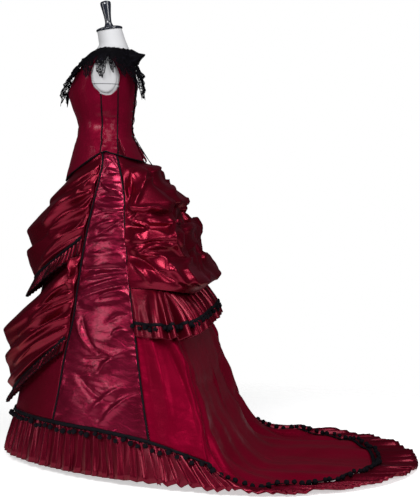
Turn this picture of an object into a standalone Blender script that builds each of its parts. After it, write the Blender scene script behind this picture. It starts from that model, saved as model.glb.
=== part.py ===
"""Victorian ball gown with a bustle and a train, on a limbless dress form.

Metres, +Z up. The gown faces -Y, the wearer's left is +X and the train runs to +Y.
Angles round the body are in degrees: 0 at the front, 90 at the left side, 180 at the back.
"""
import math

import bmesh
import bpy
import numpy as np

# Driving sizes
WAIST_Z = 1.09        # the skirt's waist seam, under the bodice
WAIST = (0.118, 0.083, 0.090)      # its half width, front depth and back depth
HEM_HALF_WIDTH = 0.475
HEM_FRONT = -0.355    # front of the hem
TRAIN_TIP = 1.055     # end of the train
HEM_WIDEST = 0.50     # where along Y the hem is widest
LAND = (0.427, 0.433, 0.478)       # where the back touches the floor: half width, Y at the sides, Y at the centre
FLOUNCE_DEPTH = 0.150  # pleated flounce round the hem
FLOOR_GAP = 0.003     # the hem's mid wall over the floor
FRONT_LIFT = 0.016    # the hem hangs higher at the front and sides
TAFFETA = 0.0016      # walls
DRAPE_WALL = 0.0020
BODICE_WALL = 0.0020
LACE_WALL = 0.0012
SEAM_GAP = 0.0003
PIPING = 0.0024       # radius of the corded seams
PLEAT_PITCH = 0.031   # knife pleats of the hem flounce
RUFFLE_PITCH = 0.023  # knife pleats of the two apron ruffles
POMPOM_PITCH = 0.0275
POMPOM = 0.0135
FLOUNCE_WAVES = 23    # gathers of the flounce under the bustle
NECK_TILT = math.radians(8.5)

# Where the two side seams run down the skirt: share of the length, angle
FRONT_SEAM = [(0.0, 90.0), (0.089, 77.3), (0.193, 63.1), (0.305, 54.3), (0.506, 47.0),
              (0.653, 44.3), (0.783, 41.0), (0.878, 39.8), (0.967, 38.2), (1.0, 38.0)]
BACK_SEAM = [(0.0, 123.0), (0.102, 101.7), (0.303, 78.9), (0.444, 73.7),
             (0.643, 70.7), (0.837, 69.2), (0.98, 68.9), (1.0, 68.9)]

# The bodice above the waist: height, half width, front, back, centre
BODICE = [(1.090, 0.1250, -0.0900, 0.0970, 0.000),
          (1.130, 0.1120, -0.0865, 0.0955, 0.000),
          (1.180, 0.1270, -0.1040, 0.1010, 0.000),
          (1.228, 0.1400, -0.1170, 0.1070, 0.000),
          (1.270, 0.1530, -0.1015, 0.1070, 0.000),
          (1.309, 0.1600, -0.0760, 0.1005, 0.002),
          (1.336, 0.1545, -0.0550, 0.0940, 0.006),
          (1.352, 0.1410, -0.0430, 0.0900, 0.012),
          (1.366, 0.1150, -0.0330, 0.0885, 0.020),
          (1.379, 0.0800, -0.0240, 0.0890, 0.028)]

# The form below the bodice and above it: height, half width, front, back, centre
FORM_HIPS = [(0.800, 0.128, -0.078, 0.095, 0.008), (0.880, 0.143, -0.088, 0.105, 0.008),
             (0.960, 0.140, -0.086, 0.100, 0.006), (1.030, 0.124, -0.078, 0.091, 0.004)]
FORM_NECK = [(1.3900, 0.0560, -0.0180, 0.0800, 0.031), (1.4120, 0.0465, -0.0180, 0.0700, 0.026),
             (1.4420, 0.0405, -0.0225, 0.0597, 0.0186)]

# Length of the bodice's skirt below the waist, round the body, and how far it flares
BASQUE = [(0, 0.152, 0.03), (15, 0.146, 0.03), (30, 0.128, 0.03), (50, 0.101, 0.035),
          (70, 0.079, 0.03), (90, 0.067, 0.03), (105, 0.072, 0.04), (123, 0.079, 0.06),
          (135, 0.082, 0.09), (150, 0.084, 0.11), (180, 0.090, 0.12)]

# Armhole, an oval round the arm plate
ARM_ANGLE, ARM_SPAN = 109.8, 26.3
ARM_Z, ARM_HALF = 1.288, 0.066
SHOULDER = 108.0
SEAM_FRONT, SEAM_BACK = 100.0, 131.0     # angles of the bodice's two corded seams above the waist

# Edge of the lace collar: angle, height, how far it stands off
LACE_EDGE = [(1.0, 1.234, 0.006), (8, 1.222, 0.012), (15, 1.206, 0.026), (20, 1.232, 0.014), (25, 1.254, 0.009),
             (33, 1.236, 0.026), (38, 1.262, 0.014), (43, 1.284, 0.009), (51, 1.268, 0.022), (57, 1.296, 0.012),
             (64, 1.316, 0.007), (78, 1.292, 0.010), (84, 1.320, 0.007), (91, 1.336, 0.005), (102, 1.294, 0.006),
             (107, 1.322, 0.005), (112, 1.336, 0.005), (120, 1.300, 0.007), (124, 1.314, 0.006), (129, 1.320, 0.006),
             (136, 1.288, 0.016), (141, 1.296, 0.010), (146, 1.301, 0.008), (155, 1.252, 0.022), (160, 1.262, 0.014),
             (165, 1.266, 0.012), (172, 1.222, 0.020), (176, 1.226, 0.018), (179.0, 1.230, 0.014)]

# Upper apron, a row for each fold, top to bottom:
# share of length and stand-off at the front, share of length and stand-off at the side seam
UPPER_APRON = [(0.115, 0.0032, 0.060, 0.0032), (0.170, 0.0040, 0.085, 0.0036), (0.235, 0.048, 0.115, 0.013),
               (0.262, 0.047, 0.140, 0.0050), (0.300, 0.078, 0.172, 0.014), (0.350, 0.106, 0.208, 0.0060),
               (0.410, 0.074, 0.243, 0.015), (0.424, 0.090, 0.275, 0.0060), (0.475, 0.066, 0.320, 0.013),
               (0.538, 0.028, 0.366, 0.0050)]
LOWER_APRON = [(0.550, 0.0036, 0.374, 0.0032), (0.602, 0.012, 0.428, 0.0036), (0.655, 0.060, 0.452, 0.014),
               (0.715, 0.106, 0.482, 0.0060), (0.790, 0.066, 0.525, 0.014), (0.818, 0.080, 0.570, 0.0060),
               (0.888, 0.042, 0.625, 0.013), (0.915, 0.048, 0.675, 0.0060), (0.945, 0.014, 0.715, 0.0045)]

# Bustle: height and stand-off at the centre back, height and stand-off at the side seam
BUSTLE = [(1.024, 0.0028, 1.020, 0.0026), (1.000, 0.0080, 0.995, 0.0050), (0.986, 0.046, 0.968, 0.010),
          (0.936, 0.056, 0.925, 0.016), (0.876, 0.104, 0.880, 0.0050), (0.858, 0.069, 0.845, 0.015),
          (0.796, 0.070, 0.800, 0.0060), (0.782, 0.096, 0.760, 0.018), (0.690, 0.075, 0.710, 0.0060),
          (0.652, 0.088, 0.672, 0.016), (0.614, 0.107, 0.636, 0.012), (0.577, 0.058, 0.610, 0.0060)]
# Its folds: from, to, as share of the way from the side seam to the centre back and of the height; height, width
BUSTLE_FOLDS = [(0.05, 0.10, 0.45, 0.30, 0.022, 0.09), (0.05, 0.30, 0.55, 0.22, -0.014, 0.07),
                (0.10, 0.42, 0.60, 0.44, 0.024, 0.07), (0.05, 0.55, 0.45, 0.62, -0.012, 0.06),
                (0.08, 0.66, 0.55, 0.60, 0.026, 0.06), (0.15, 0.78, 0.75, 0.95, 0.022, 0.07),
                (0.60, 0.10, 0.72, 0.34, -0.022, 0.07), (0.68, 0.50, 0.80, 0.75, -0.024, 0.07)]
BACK_FLOUNCE = [(0.612, 0.0026, 0.0004), (0.572, 0.026, 0.0050), (0.520, 0.042, 0.0095), (0.462, 0.046, 0.0125)]

# Long folds of the train: angle, half width in degrees, height at the flounce
TRAIN_FOLDS = [(78, 5, 0.010), (90, 5, 0.015), (103, 6, 0.012), (117, 6, 0.018), (132, 7, 0.014), (148, 7, 0.019),
               (164, 7, 0.015)]
TRAIN_COLUMNS = [0, 0.085, 0.13, 0.19, 0.25, 0.31, 0.37, 0.435, 0.50, 0.57, 0.64, 0.71, 0.785, 0.855, 0.93, 1.0]
# Puckers of the side panels: share of length, half width, height
PUCKERS = [(0.10, 0.03, 0.0035), (0.18, 0.025, -0.003), (0.27, 0.03, 0.004), (0.36, 0.03, -0.003),
           (0.44, 0.02, 0.005), (0.49, 0.02, -0.004), (0.54, 0.02, 0.005), (0.60, 0.03, -0.003),
           (0.70, 0.05, 0.004), (0.82, 0.04, -0.004), (0.92, 0.04, 0.004)]


for old in list(bpy.data.objects):
    bpy.data.objects.remove(old, do_unlink=True)


def finish(name, colour, roughness, metallic=0.0):
    mat = bpy.data.materials.new(name)
    mat.use_nodes = True
    shader = mat.node_tree.nodes["Principled BSDF"]
    shader.inputs["Base Color"].default_value = (*colour, 1.0)
    shader.inputs["Roughness"].default_value = roughness
    shader.inputs["Metallic"].default_value = metallic
    mat.diffuse_color = (*colour, 1.0)
    return mat


WINE = finish("wine_taffeta", (0.150, 0.004, 0.016), 0.34)
BLACK = finish("black_trim", (0.010, 0.009, 0.012), 0.70)
LACE = finish("black_lace", (0.012, 0.011, 0.015), 0.75)
FORM = finish("form_cloth", (0.72, 0.72, 0.73), 0.65)
CAP = finish("cap_gloss", (0.012, 0.013, 0.020), 0.25)
STEEL = finish("stand_steel", (0.55, 0.55, 0.56), 0.30, 1.0)


def add(name, verts, faces, material):
    """A closed solid from its corners and faces, turned outwards."""
    mesh = bpy.data.meshes.new(name)
    mesh.from_pydata([tuple(map(float, v)) for v in verts], [], [list(map(int, f)) for f in faces])
    bm = bmesh.new()
    bm.from_mesh(mesh)
    bmesh.ops.recalc_face_normals(bm, faces=bm.faces)
    bm.to_mesh(mesh)
    bm.free()
    mesh.materials.append(material)
    obj = bpy.data.objects.new(name, mesh)
    bpy.context.scene.collection.objects.link(obj)
    return obj


def unit(v):
    v = np.asarray(v, float)
    return v / np.maximum(np.linalg.norm(v, axis=-1, keepdims=True), 1e-12)


def curve_at(table, x):
    """Smooth value of a table with two columns."""
    xs = np.array([row[0] for row in table], float)
    ys = np.array([row[1] for row in table], float)
    x = min(max(x, xs[0]), xs[-1])
    slopes = np.gradient(ys, xs)
    i = min(int(np.searchsorted(xs, x, side="right")) - 1, len(xs) - 2)
    step = xs[i + 1] - xs[i]
    t = (x - xs[i]) / step
    return ((2 * t**3 - 3 * t**2 + 1) * ys[i] + (t**3 - 2 * t**2 + t) * step * slopes[i]
            + (3 * t**2 - 2 * t**3) * ys[i + 1] + (t**3 - t**2) * step * slopes[i + 1])


def smoothstep(a, b, x):
    t = min(max((x - a) / (b - a), 0.0), 1.0)
    return t * t * (3 - 2 * t)


def from_front(angle):
    return abs((angle + 180.0) % 360.0 - 180.0)


# The skirt: one line from waist to hem for every angle, laid on the floor at the back
MERIDIANS = {}


def meridian(angle):
    key = round(angle, 4)
    if key in MERIDIANS:
        return MERIDIANS[key]
    s, c = math.sin(math.radians(angle)), math.cos(math.radians(angle))
    top = np.array([WAIST[0] * s, -(WAIST[1] if c > 0 else WAIST[2]) * c, WAIST_Z])
    if c > 0:
        hem = np.array([HEM_HALF_WIDTH * math.copysign(abs(s)**1.25, s),
                        HEM_WIDEST - (HEM_WIDEST - HEM_FRONT) * c**1.25, FLOOR_GAP])
    else:
        hem = np.array([HEM_HALF_WIDTH * s, HEM_WIDEST - (TRAIN_TIP - HEM_WIDEST) * c, FLOOR_GAP])
    land = top + (hem - top) * (1 - 0.134 * (max(0.0, min(from_front(angle), 90) - 50) / 40)**1.3)
    if c < 0:   # behind the sides the cloth reaches the floor on a rounder line than the hem
        land = np.array([LAND[0] * s, LAND[1] - (LAND[2] - LAND[1]) * c, 0.0])
    land[2] = hem[2] = FLOOR_GAP + FRONT_LIFT * (1 - smoothstep(62, 92, from_front(angle)))
    t = np.linspace(0, 1, 101)[:, None]
    hang = np.hstack([top[:2] + (land - top)[:2] * t**(1 - 0.25 * s * s), top[2] + (land[2] - top[2]) * t])
    lay = np.linalg.norm(hem - land)
    count = max(1, int(lay / 0.01))
    flat = land + (hem - land) * np.linspace(0, 1, count + 1)[1:, None]
    points = np.vstack([hang, flat]) if lay > 0.002 else hang
    run = np.concatenate([[0], np.cumsum(np.linalg.norm(np.diff(points, axis=0), axis=1))])
    even = np.linspace(0, run[-1], 201)
    line = np.stack([np.interp(even, run, points[:, k]) for k in range(3)], 1)
    bend = min(0.12, lay * 0.9) / (run[-1] / 200)
    half = int(bend) + 1
    back, ahead = np.arange(half, 0, -1)[:, None], np.arange(1, half + 1)[:, None]
    longer = np.vstack([line[0] - (line[1] - line[0]) * back, line, line[-1] + (line[-1] - line[-2]) * ahead])
    kernel = np.clip(bend + 0.5 - np.abs(np.arange(-half, half + 1)), 0, 1)
    line = np.stack([np.convolve(longer[:, k], kernel / kernel.sum(), "valid") for k in range(3)], 1)
    run = np.concatenate([[0], np.cumsum(np.linalg.norm(np.diff(line, axis=0), axis=1))])
    MERIDIANS[key] = run, line
    return run, line


def skirt_length(angle):
    return meridian(angle)[0][-1] - FLOUNCE_DEPTH


def skirt(angle, share):
    """Point of the bare skirt: share 0 is the waist, 1 is the top of the hem flounce."""
    run, line = meridian(angle)
    s = share * (run[-1] - FLOUNCE_DEPTH)
    if s < 0:
        return line[0] + (line[0] - line[1]) / (run[1] - run[0]) * -s
    return np.array([np.interp(s, run, line[:, k]) for k in range(3)])


def hem_share(angle):
    run = meridian(angle)[0]
    return run[-1] / (run[-1] - FLOUNCE_DEPTH)


def share_at(angle, z):
    run, line = meridian(angle)
    return float(np.interp(-z, -line[:, 2], run)) / (run[-1] - FLOUNCE_DEPTH)


def skirt_out(angle, share, level=False):
    """Outward direction of the skirt, or its level part."""
    across = skirt(angle + 0.6, share) - skirt(angle - 0.6, share)
    down = skirt(angle, min(share + 0.006, hem_share(angle))) - skirt(angle, share - 0.006)
    out = np.cross(down, across)
    if level:
        out[2] = 0.0
    return unit(out)


def step_in(angle, share, distance):
    """Degrees that make a distance round the skirt."""
    return distance / (np.linalg.norm(skirt(angle + 0.5, share) - skirt(angle - 0.5, share)) + 1e-9)


def front_seam(share):
    return curve_at(FRONT_SEAM, share)


def back_seam(share):
    return curve_at(BACK_SEAM, share)


def beside(seam, point, at, distance):
    """Degrees from a slanting seam to a line at a distance from it."""
    here = seam(at)
    run = unit(point(seam(at + 0.04), at + 0.04) - point(seam(at - 0.04), at - 0.04))
    across = point(here + 1.0, at) - point(here - 1.0, at)
    return 2 * distance / (np.linalg.norm(np.cross(run, across)) + 1e-9)


def grid_out(points):
    """Outward direction at each point of a grid with rows downwards and columns towards larger angles."""
    across = np.gradient(points, axis=1)
    down = np.gradient(points, axis=0)
    return unit(np.cross(down, across))


def shell(name, outer, out, wall, material, skip=()):
    """A piece of cloth: two skins a wall apart, closed round its edges and round each cut hole."""
    rows, cols = outer.shape[:2]
    count = rows * cols
    verts = np.concatenate([outer.reshape(-1, 3), (outer - out * wall).reshape(-1, 3)])
    kept = {(r, c) for r in range(rows - 1) for c in range(cols - 1)} - set(skip)
    faces = []
    for r, c in sorted(kept):
        quad = [r * cols + c, r * cols + c + 1, (r + 1) * cols + c + 1, (r + 1) * cols + c]
        # both skins are split along the same diagonal, so that a bent quad keeps its wall
        corners = verts[quad]
        turn = int(np.linalg.norm(corners[0] - corners[2]) > np.linalg.norm(corners[1] - corners[3]))
        q = quad[turn:] + quad[:turn]
        for tri in ([q[0], q[1], q[2]], [q[0], q[2], q[3]]):
            faces.append(tri)
            faces.append([i + count for i in reversed(tri)])
        for beside, (a, b) in (((r - 1, c), (0, 1)), ((r, c + 1), (1, 2)), ((r + 1, c), (2, 3)), ((r, c - 1), (3, 0))):
            if beside not in kept:
                faces.append([quad[b], quad[a], quad[a] + count, quad[b] + count])
    return add(name, verts, faces, material)


def cord(name, points, radius, material, rounds=0):
    """A round cord along a line of points."""
    data = bpy.data.curves.new(name, "CURVE")
    data.dimensions = "3D"
    data.bevel_depth = radius
    data.bevel_resolution = rounds
    data.use_fill_caps = True
    line = data.splines.new("POLY")
    line.points.add(len(points) - 1)
    for knot, p in zip(line.points, points):
        knot.co = (*map(float, p), 1.0)
    rough = bpy.data.objects.new(name + "_line", data)
    bpy.context.scene.collection.objects.link(rough)
    mesh = bpy.data.meshes.new_from_object(rough.evaluated_get(bpy.context.evaluated_depsgraph_get()))
    bpy.data.objects.remove(rough)
    bm = bmesh.new()
    bm.from_mesh(mesh)
    bmesh.ops.remove_doubles(bm, verts=bm.verts, dist=0.00005)
    bmesh.ops.recalc_face_normals(bm, faces=bm.faces)
    bm.to_mesh(mesh)
    bm.free()
    mesh.name = name
    mesh.materials.clear()
    mesh.materials.append(material)
    obj = bpy.data.objects.new(name, mesh)
    bpy.context.scene.collection.objects.link(obj)
    return obj


def turned(name, profile, sides, material, place=(0, 0, 0), tilt=0.0):
    """A turned piece: profile of radius and height, from its foot to its top, tilted towards the front."""
    verts, faces = [], []
    for radius, height in profile:
        for k in range(sides):
            a = 2 * math.pi * k / sides
            x, y, z = radius * math.cos(a), radius * math.sin(a), height
            verts.append((x + place[0], y * math.cos(tilt) - z * math.sin(tilt) + place[1],
                          y * math.sin(tilt) + z * math.cos(tilt) + place[2]))
    for r in range(len(profile) - 1):
        for k in range(sides):
            n = (k + 1) % sides
            faces.append([r * sides + k, r * sides + n, (r + 1) * sides + n, (r + 1) * sides + k])
    faces.append(list(range(sides))[::-1])
    faces.append([(len(profile) - 1) * sides + k for k in range(sides)])
    return add(name, verts, faces, material)


def braid(name, at, out, down, width, thick, lift, material, ball=0.0, drop=0.0, ball_lift=0.0, ring=False):
    """A flat braid a lift off its cloth, with a pompom fused under each length of it where ball is given."""
    at, out, down = map(np.asarray, (at, out, down))
    half = down * (width / 2)
    corners = np.stack([at - half + out * lift, at - half + out * (lift + thick),
                        at + half + out * (lift + thick), at + half + out * lift], 1)
    verts = [tuple(v) for v in corners.reshape(-1, 3)]
    count = len(at)
    faces = []
    for i in range(count if ring else count - 1):
        j = (i + 1) % count
        for a, b in ((0, 1), (1, 2), (3, 0)):
            faces.append([4 * i + a, 4 * i + b, 4 * j + b, 4 * j + a])
        root = [4 * i + 3, 4 * i + 2, 4 * j + 2, 4 * j + 3]
        if ball:
            mid_out, mid_down = unit(out[i] + out[j]), unit(down[i] + down[j])
            along = unit(at[j] - at[i])
            centre = (at[i] + at[j]) / 2 + mid_down * (width / 2 + drop * 0.55) + mid_out * (ball_lift + ball * 0.42)
            belly = [centre - along * ball / 2 - mid_out * ball * 0.42, centre - along * ball / 2 + mid_out * ball * 0.42,
                     centre + along * ball / 2 + mid_out * ball * 0.42, centre + along * ball / 2 - mid_out * ball * 0.42]
            tip = centre + mid_down * drop * 0.45
            first = len(verts)
            verts.extend(tuple(v) for v in belly + [tip])
            for k in range(4):
                n = (k + 1) % 4
                faces.append([root[k], root[n], first + n, first + k])
                faces.append([first + k, first + n, first + 4])
        else:
            faces.append(root)
    if not ring:
        faces.append([0, 1, 2, 3])
        faces.append([4 * count - 4 + k for k in (3, 2, 1, 0)])
    return add(name, verts, faces, material)


def mirrored(points):
    """The same grid on the wearer's right."""
    return (np.asarray(points) * (-1, 1, 1))[..., ::-1, :]


def along(points, fraction):
    """Point at a fraction of a segment index along a line of points."""
    i = min(int(fraction), len(points) - 2)
    t = fraction - i
    return points[i] * (1 - t) + points[i + 1] * t


def split_evenly(points, pitch):
    """Segment fractions that split each segment of a line into whole pitches."""
    marks = [0.0]
    for i in range(len(points) - 1):
        n = max(1, round(np.linalg.norm(points[i + 1] - points[i]) / pitch))
        marks.extend(i + (k + 1) / n for k in range(n))
    return marks


# Bodice: rows run from the basque's hem up to the neck
def bodice_ring(z, angle, inset=0.0):
    table = BODICE
    row = [curve_at([(r[0], r[k]) for r in table], z) for k in range(1, 5)]
    s, c = math.sin(math.radians(angle)), math.cos(math.radians(angle))
    depth = (row[3] - row[1]) if c > 0 else (row[2] - row[3])
    return np.array([(row[0] - inset) * s, row[3] - (depth - inset) * c, z])


def neck_scale(angle):
    c = math.cos(math.radians(angle))
    return 0.976 - 0.085 * max(0.0, c)**2 - 0.006 * max(0.0, -c)**2


def basque_length(angle):
    return curve_at([(a, l) for a, l, f in BASQUE], from_front(angle))


def bodice_point(angle, height, recess=0.0):
    """Height over the waist, or below it as minus a share of the basque's length."""
    if height >= 0:
        z = WAIST_Z + height * (1 - (1 - neck_scale(angle)) * smoothstep(0.10, 0.296, height))
        return bodice_ring(z, angle, recess)
    s = -height * basque_length(angle)
    share = s / skirt_length(angle)
    flare = curve_at([(a, f) for a, l, f in BASQUE], from_front(angle))
    return skirt(angle, share) + skirt_out(angle, share, True) * (0.0070 + s * flare - recess)


def bodice_out(angle, height):
    across = bodice_point(angle + 0.7, height) - bodice_point(angle - 0.7, height)
    if height > 0.006:
        up = bodice_point(angle, height + 0.003) - bodice_point(angle, height - 0.003)
    elif height < -0.04:
        up = bodice_point(angle, height + 0.03) - bodice_point(angle, height - 0.03)
    else:
        up = bodice_point(angle, 0.008) - bodice_point(angle, -0.10)
    return unit(np.cross(across, up))


def arm_angle(z, side):
    """Angle of the armhole's edge at a height."""
    t = min(max((z - ARM_Z) / ARM_HALF, -1.0), 1.0)
    return ARM_ANGLE + side * ARM_SPAN * math.sqrt(1 - t * t)


def around(angle, height, distance):
    """Degrees that make a distance round the bodice."""
    return distance / (np.linalg.norm(bodice_point(angle + 0.5, height) - bodice_point(angle - 0.5, height)) + 1e-9)


# Dress form: a smooth body a little inside the bodice, its neck, arm plates, cap and stand
form_rows = []
FORM_SIDES = 20
form_angles = [360.0 * k / FORM_SIDES for k in range(FORM_SIDES)]
for z, half, front, back, centre in FORM_HIPS:
    form_rows.append([(half * math.sin(math.radians(a)),
                       centre - ((centre - front) if math.cos(math.radians(a)) > 0 else (back - centre))
                       * math.cos(math.radians(a)), z) for a in form_angles])
for height, inset in ((0.0, 0.0125), (0.04, 0.0062), (0.09, 0.0062), (0.138, 0.0062), (0.18, 0.0062), (0.22, 0.0062),
                      (0.25, 0.0056), (0.268, 0.0046), (0.282, 0.0042), (0.296, 0.0040)):
    form_rows.append([tuple(bodice_point(a, height) - bodice_out(a, max(height, 0.01)) * inset) for a in form_angles])
for k, (z, half, front, back, centre) in enumerate(FORM_NECK):
    lean = math.tan(NECK_TILT) * k / 2
    row = []
    for a in form_angles:
        s, c = math.sin(math.radians(a)), math.cos(math.radians(a))
        y = centre - ((centre - front) if c > 0 else (back - centre)) * c
        row.append((half * s, y, z + lean * (y - centre)))
    form_rows.append(row)
verts = [v for row in form_rows for v in row]
faces = [[r * FORM_SIDES + k, r * FORM_SIDES + (k + 1) % FORM_SIDES,
          (r + 1) * FORM_SIDES + (k + 1) % FORM_SIDES, (r + 1) * FORM_SIDES + k]
         for r in range(len(form_rows) - 1) for k in range(FORM_SIDES)]
faces.append(list(range(FORM_SIDES))[::-1])
faces.append([(len(form_rows) - 1) * FORM_SIDES + k for k in range(FORM_SIDES)])
add("form_torso", verts, faces, FORM)

neck_top = (0.0, 0.0186, 1.4423)
turned("form_neck_cap", [(0.0425, 0.0), (0.0440, 0.003), (0.0430, 0.007), (0.0330, 0.011), (0.0150, 0.0135)],
       20, CAP, neck_top, NECK_TILT)
turned("form_finial", [(0.0130, 0.0138), (0.0100, 0.022), (0.0090, 0.032), (0.0112, 0.052), (0.0145, 0.075),
                       (0.0162, 0.088), (0.0140, 0.0955), (0.0070, 0.0985)], 12, CAP, neck_top, NECK_TILT)
turned("form_socket", [(0.026, 0.764), (0.032, 0.768), (0.032, 0.796), (0.038, 0.7997)], 14, STEEL)
turned("form_pole", [(0.0125, 0.0305), (0.0125, 0.7637)], 14, STEEL)
turned("form_base", [(0.165, 0.0), (0.170, 0.003), (0.168, 0.009), (0.120, 0.019), (0.028, 0.025), (0.022, 0.0302)],
       28, STEEL)
for side, sign in (("left", 1), ("right", -1)):
    verts = []
    for rise in (0.0068, 0.0038):
        for share in (1.0, 0.55):
            for k in range(12):
                a = 2 * math.pi * k / 12
                p = bodice_ring(ARM_Z + (ARM_HALF - 0.009) * share * math.sin(a),
                                ARM_ANGLE + (ARM_SPAN - 4.0) * share * math.cos(a), 0.0062)
                verts.append((sign * (p[0] + rise), p[1], p[2]))
        p = bodice_ring(ARM_Z, ARM_ANGLE, 0.0062)
        verts.append((sign * (p[0] + rise), p[1], p[2]))
    faces = []
    for k in range(12):
        n = (k + 1) % 12
        faces += [[k, n, n + 12, k + 12], [k + 12, n + 12, 24], [k + 25, n + 25, n + 37, k + 37],
                  [k + 37, n + 37, 49], [k, n, n + 25, k + 25]]
    add(f"form_arm_plate_{side}", verts, faces, FORM)


FRONT_TOP = ARM_Z - ARM_HALF * math.sqrt(1 - ((ARM_ANGLE - SEAM_FRONT) / ARM_SPAN)**2)   # where the front seam meets the armhole
BACK_TOP = ARM_Z - ARM_HALF * math.sqrt(1 - ((SEAM_BACK - ARM_ANGLE) / ARM_SPAN)**2)
LOW = [-1.0, -0.66, -0.33, 0.0, 0.04, 0.09]
FRONT_ROWS = LOW + [FRONT_TOP - WAIST_Z, 0.160, 0.195, 0.232, 0.2555, 0.268, 0.281, 0.296]
BACK_ROWS = LOW + [BACK_TOP - WAIST_Z, 0.198, 0.232, 0.2555, 0.268, 0.281, 0.296]
SIDE_EDGE = PIPING * 0.8 + 2 * SEAM_GAP


def seam_angles(height):
    """Angles of the front seam, the back seam and the back panel's edge; they swing forward below the waist."""
    low = max(0.0, -height)
    return SEAM_FRONT - 21.0 * low**0.9, SEAM_BACK - 21.0 * low, SEAM_BACK - 6.0 * low


def off_seam(which, height, distance):
    """Angle of a line at a distance from one of those seams."""
    return seam_angles(height)[which] + beside(lambda h: seam_angles(h)[which], bodice_point, height, distance)


def front_edge(height):
    if height <= FRONT_TOP - WAIST_Z + 1e-6:
        return off_seam(0, height, -SIDE_EDGE)
    if height < 0.262:
        return arm_angle(WAIST_Z + height, -1)
    return SHOULDER - around(SHOULDER, height, SEAM_GAP / 2)


def back_edge(height):
    if height <= BACK_TOP - WAIST_Z + 1e-6:
        return off_seam(2, height, SIDE_EDGE)
    if height < 0.262:
        return arm_angle(WAIST_Z + height, 1)
    return SHOULDER + around(SHOULDER, height, SEAM_GAP / 2)


def bodice_grid(heights, left, right, columns, recess=0.0):
    """Rows from the top down, columns from the left angle to the right one."""
    points, out = [], []
    for h in reversed(heights):
        a, b = left(h), right(h)
        angles = [a + (b - a) * t for t in columns]
        points.append([bodice_point(x, h, recess) for x in angles])
        out.append([bodice_out(x, h) for x in angles])
    return np.array(points), np.array(out)


spread = [0, 0.07, 0.15, 0.25, 0.35, 0.44, 0.5, 0.56, 0.65, 0.75, 0.85, 0.93, 1]
front_grid, front_out = bodice_grid(FRONT_ROWS, lambda h: -front_edge(h), front_edge, spread)
shell("bodice_front", front_grid, front_out, BODICE_WALL, WINE)

LACING_HALF = 0.011   # half of the laced opening at the back
back_grid, back_out = bodice_grid(BACK_ROWS, back_edge, lambda h: 180.0 - around(180.0, h, LACING_HALF),
                                  [0, 0.14, 0.32, 0.55, 0.80, 1])


def side_top(angle):
    return ARM_Z - ARM_HALF * math.sqrt(1 - ((angle - ARM_ANGLE) / ARM_SPAN)**2) - WAIST_Z


side_rows, side_dirs = [], []
for row, h in enumerate(LOW + [None]):
    level = h if h is not None else 0.13
    near, far = off_seam(0, level, SIDE_EDGE), off_seam(1, level, -SIDE_EDGE)
    angles = [near + (far - near) * t for t in (0, 0.3, 0.62, 1)]
    heights = [h if h is not None else side_top(a) for a in angles]
    side_rows.insert(0, [bodice_point(a, k) for a, k in zip(angles, heights)])
    side_dirs.insert(0, [bodice_out(a, k) for a, k in zip(angles, heights)])
side_grid, side_out = np.array(side_rows), np.array(side_dirs)

# The inset pleat below the waist, between the side panel and the back, a little behind them
godet_rows, godet_dirs = [], []
for h in (-0.2, -0.33, -0.66, -1.0):
    near, far = off_seam(1, h, SIDE_EDGE), off_seam(2, h, SIDE_EDGE - SEAM_GAP)
    angles = [near + (far - near) * t for t in (0, 0.35, 0.65, 1)]
    sink = [0.0004, 0.0006, 0.0022, 0.0024]
    godet_rows.append([bodice_point(a, h, k * min(1.0, -h * 3)) for a, k in zip(angles, sink)])
    godet_dirs.append([bodice_out(a, h) for a in angles])
godet_grid, godet_out = np.array(godet_rows), np.array(godet_dirs)

front_seam_line = [bodice_point(seam_angles(h)[0], h) - bodice_out(seam_angles(h)[0], h) * BODICE_WALL / 2
                   for h in [-0.985] + FRONT_ROWS[1:6] + [FRONT_TOP - WAIST_Z]]
back_seam_line = [bodice_point(seam_angles(h)[1], h) - bodice_out(seam_angles(h)[1], h) * BODICE_WALL / 2
                  for h in [-0.985] + BACK_ROWS[1:6] + [BACK_TOP - WAIST_Z]]
for side, sign in (("left", 1), ("right", -1)):
    turn = (lambda g: g) if sign > 0 else mirrored
    shell(f"bodice_back_{side}", turn(back_grid), turn(back_out), BODICE_WALL, WINE)
    shell(f"bodice_side_{side}", turn(side_grid), turn(side_out), BODICE_WALL, WINE)
    shell(f"bodice_inset_{side}", turn(godet_grid), turn(godet_out), BODICE_WALL, WINE)
    cord(f"bodice_piping_front_{side}", np.array(front_seam_line) * (sign, 1, 1), PIPING * 0.8, BLACK)
    cord(f"bodice_piping_back_{side}", np.array(back_seam_line) * (sign, 1, 1), PIPING * 0.8, BLACK)

# Black edging under the basque's hem
EDGING = 0.0022


def edge_line(grid, out):
    run = np.gradient(grid[-1], axis=0)
    down = unit(np.cross(out[-1], run))
    down *= np.sign(np.sum(down * (grid[-1] - grid[-2]), axis=1, keepdims=True))
    return grid[-1] - out[-1] * BODICE_WALL / 2 + down * (EDGING + SEAM_GAP)


cord("bodice_edging_front", edge_line(front_grid, front_out), EDGING, BLACK)
tail = np.concatenate([edge_line(side_grid, side_out), edge_line(godet_grid, godet_out)[1:-1],
                       edge_line(back_grid, back_out)])
for side, sign in (("left", 1), ("right", -1)):
    cord(f"bodice_edging_{side}", tail * (sign, 1, 1), EDGING, BLACK)

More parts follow.
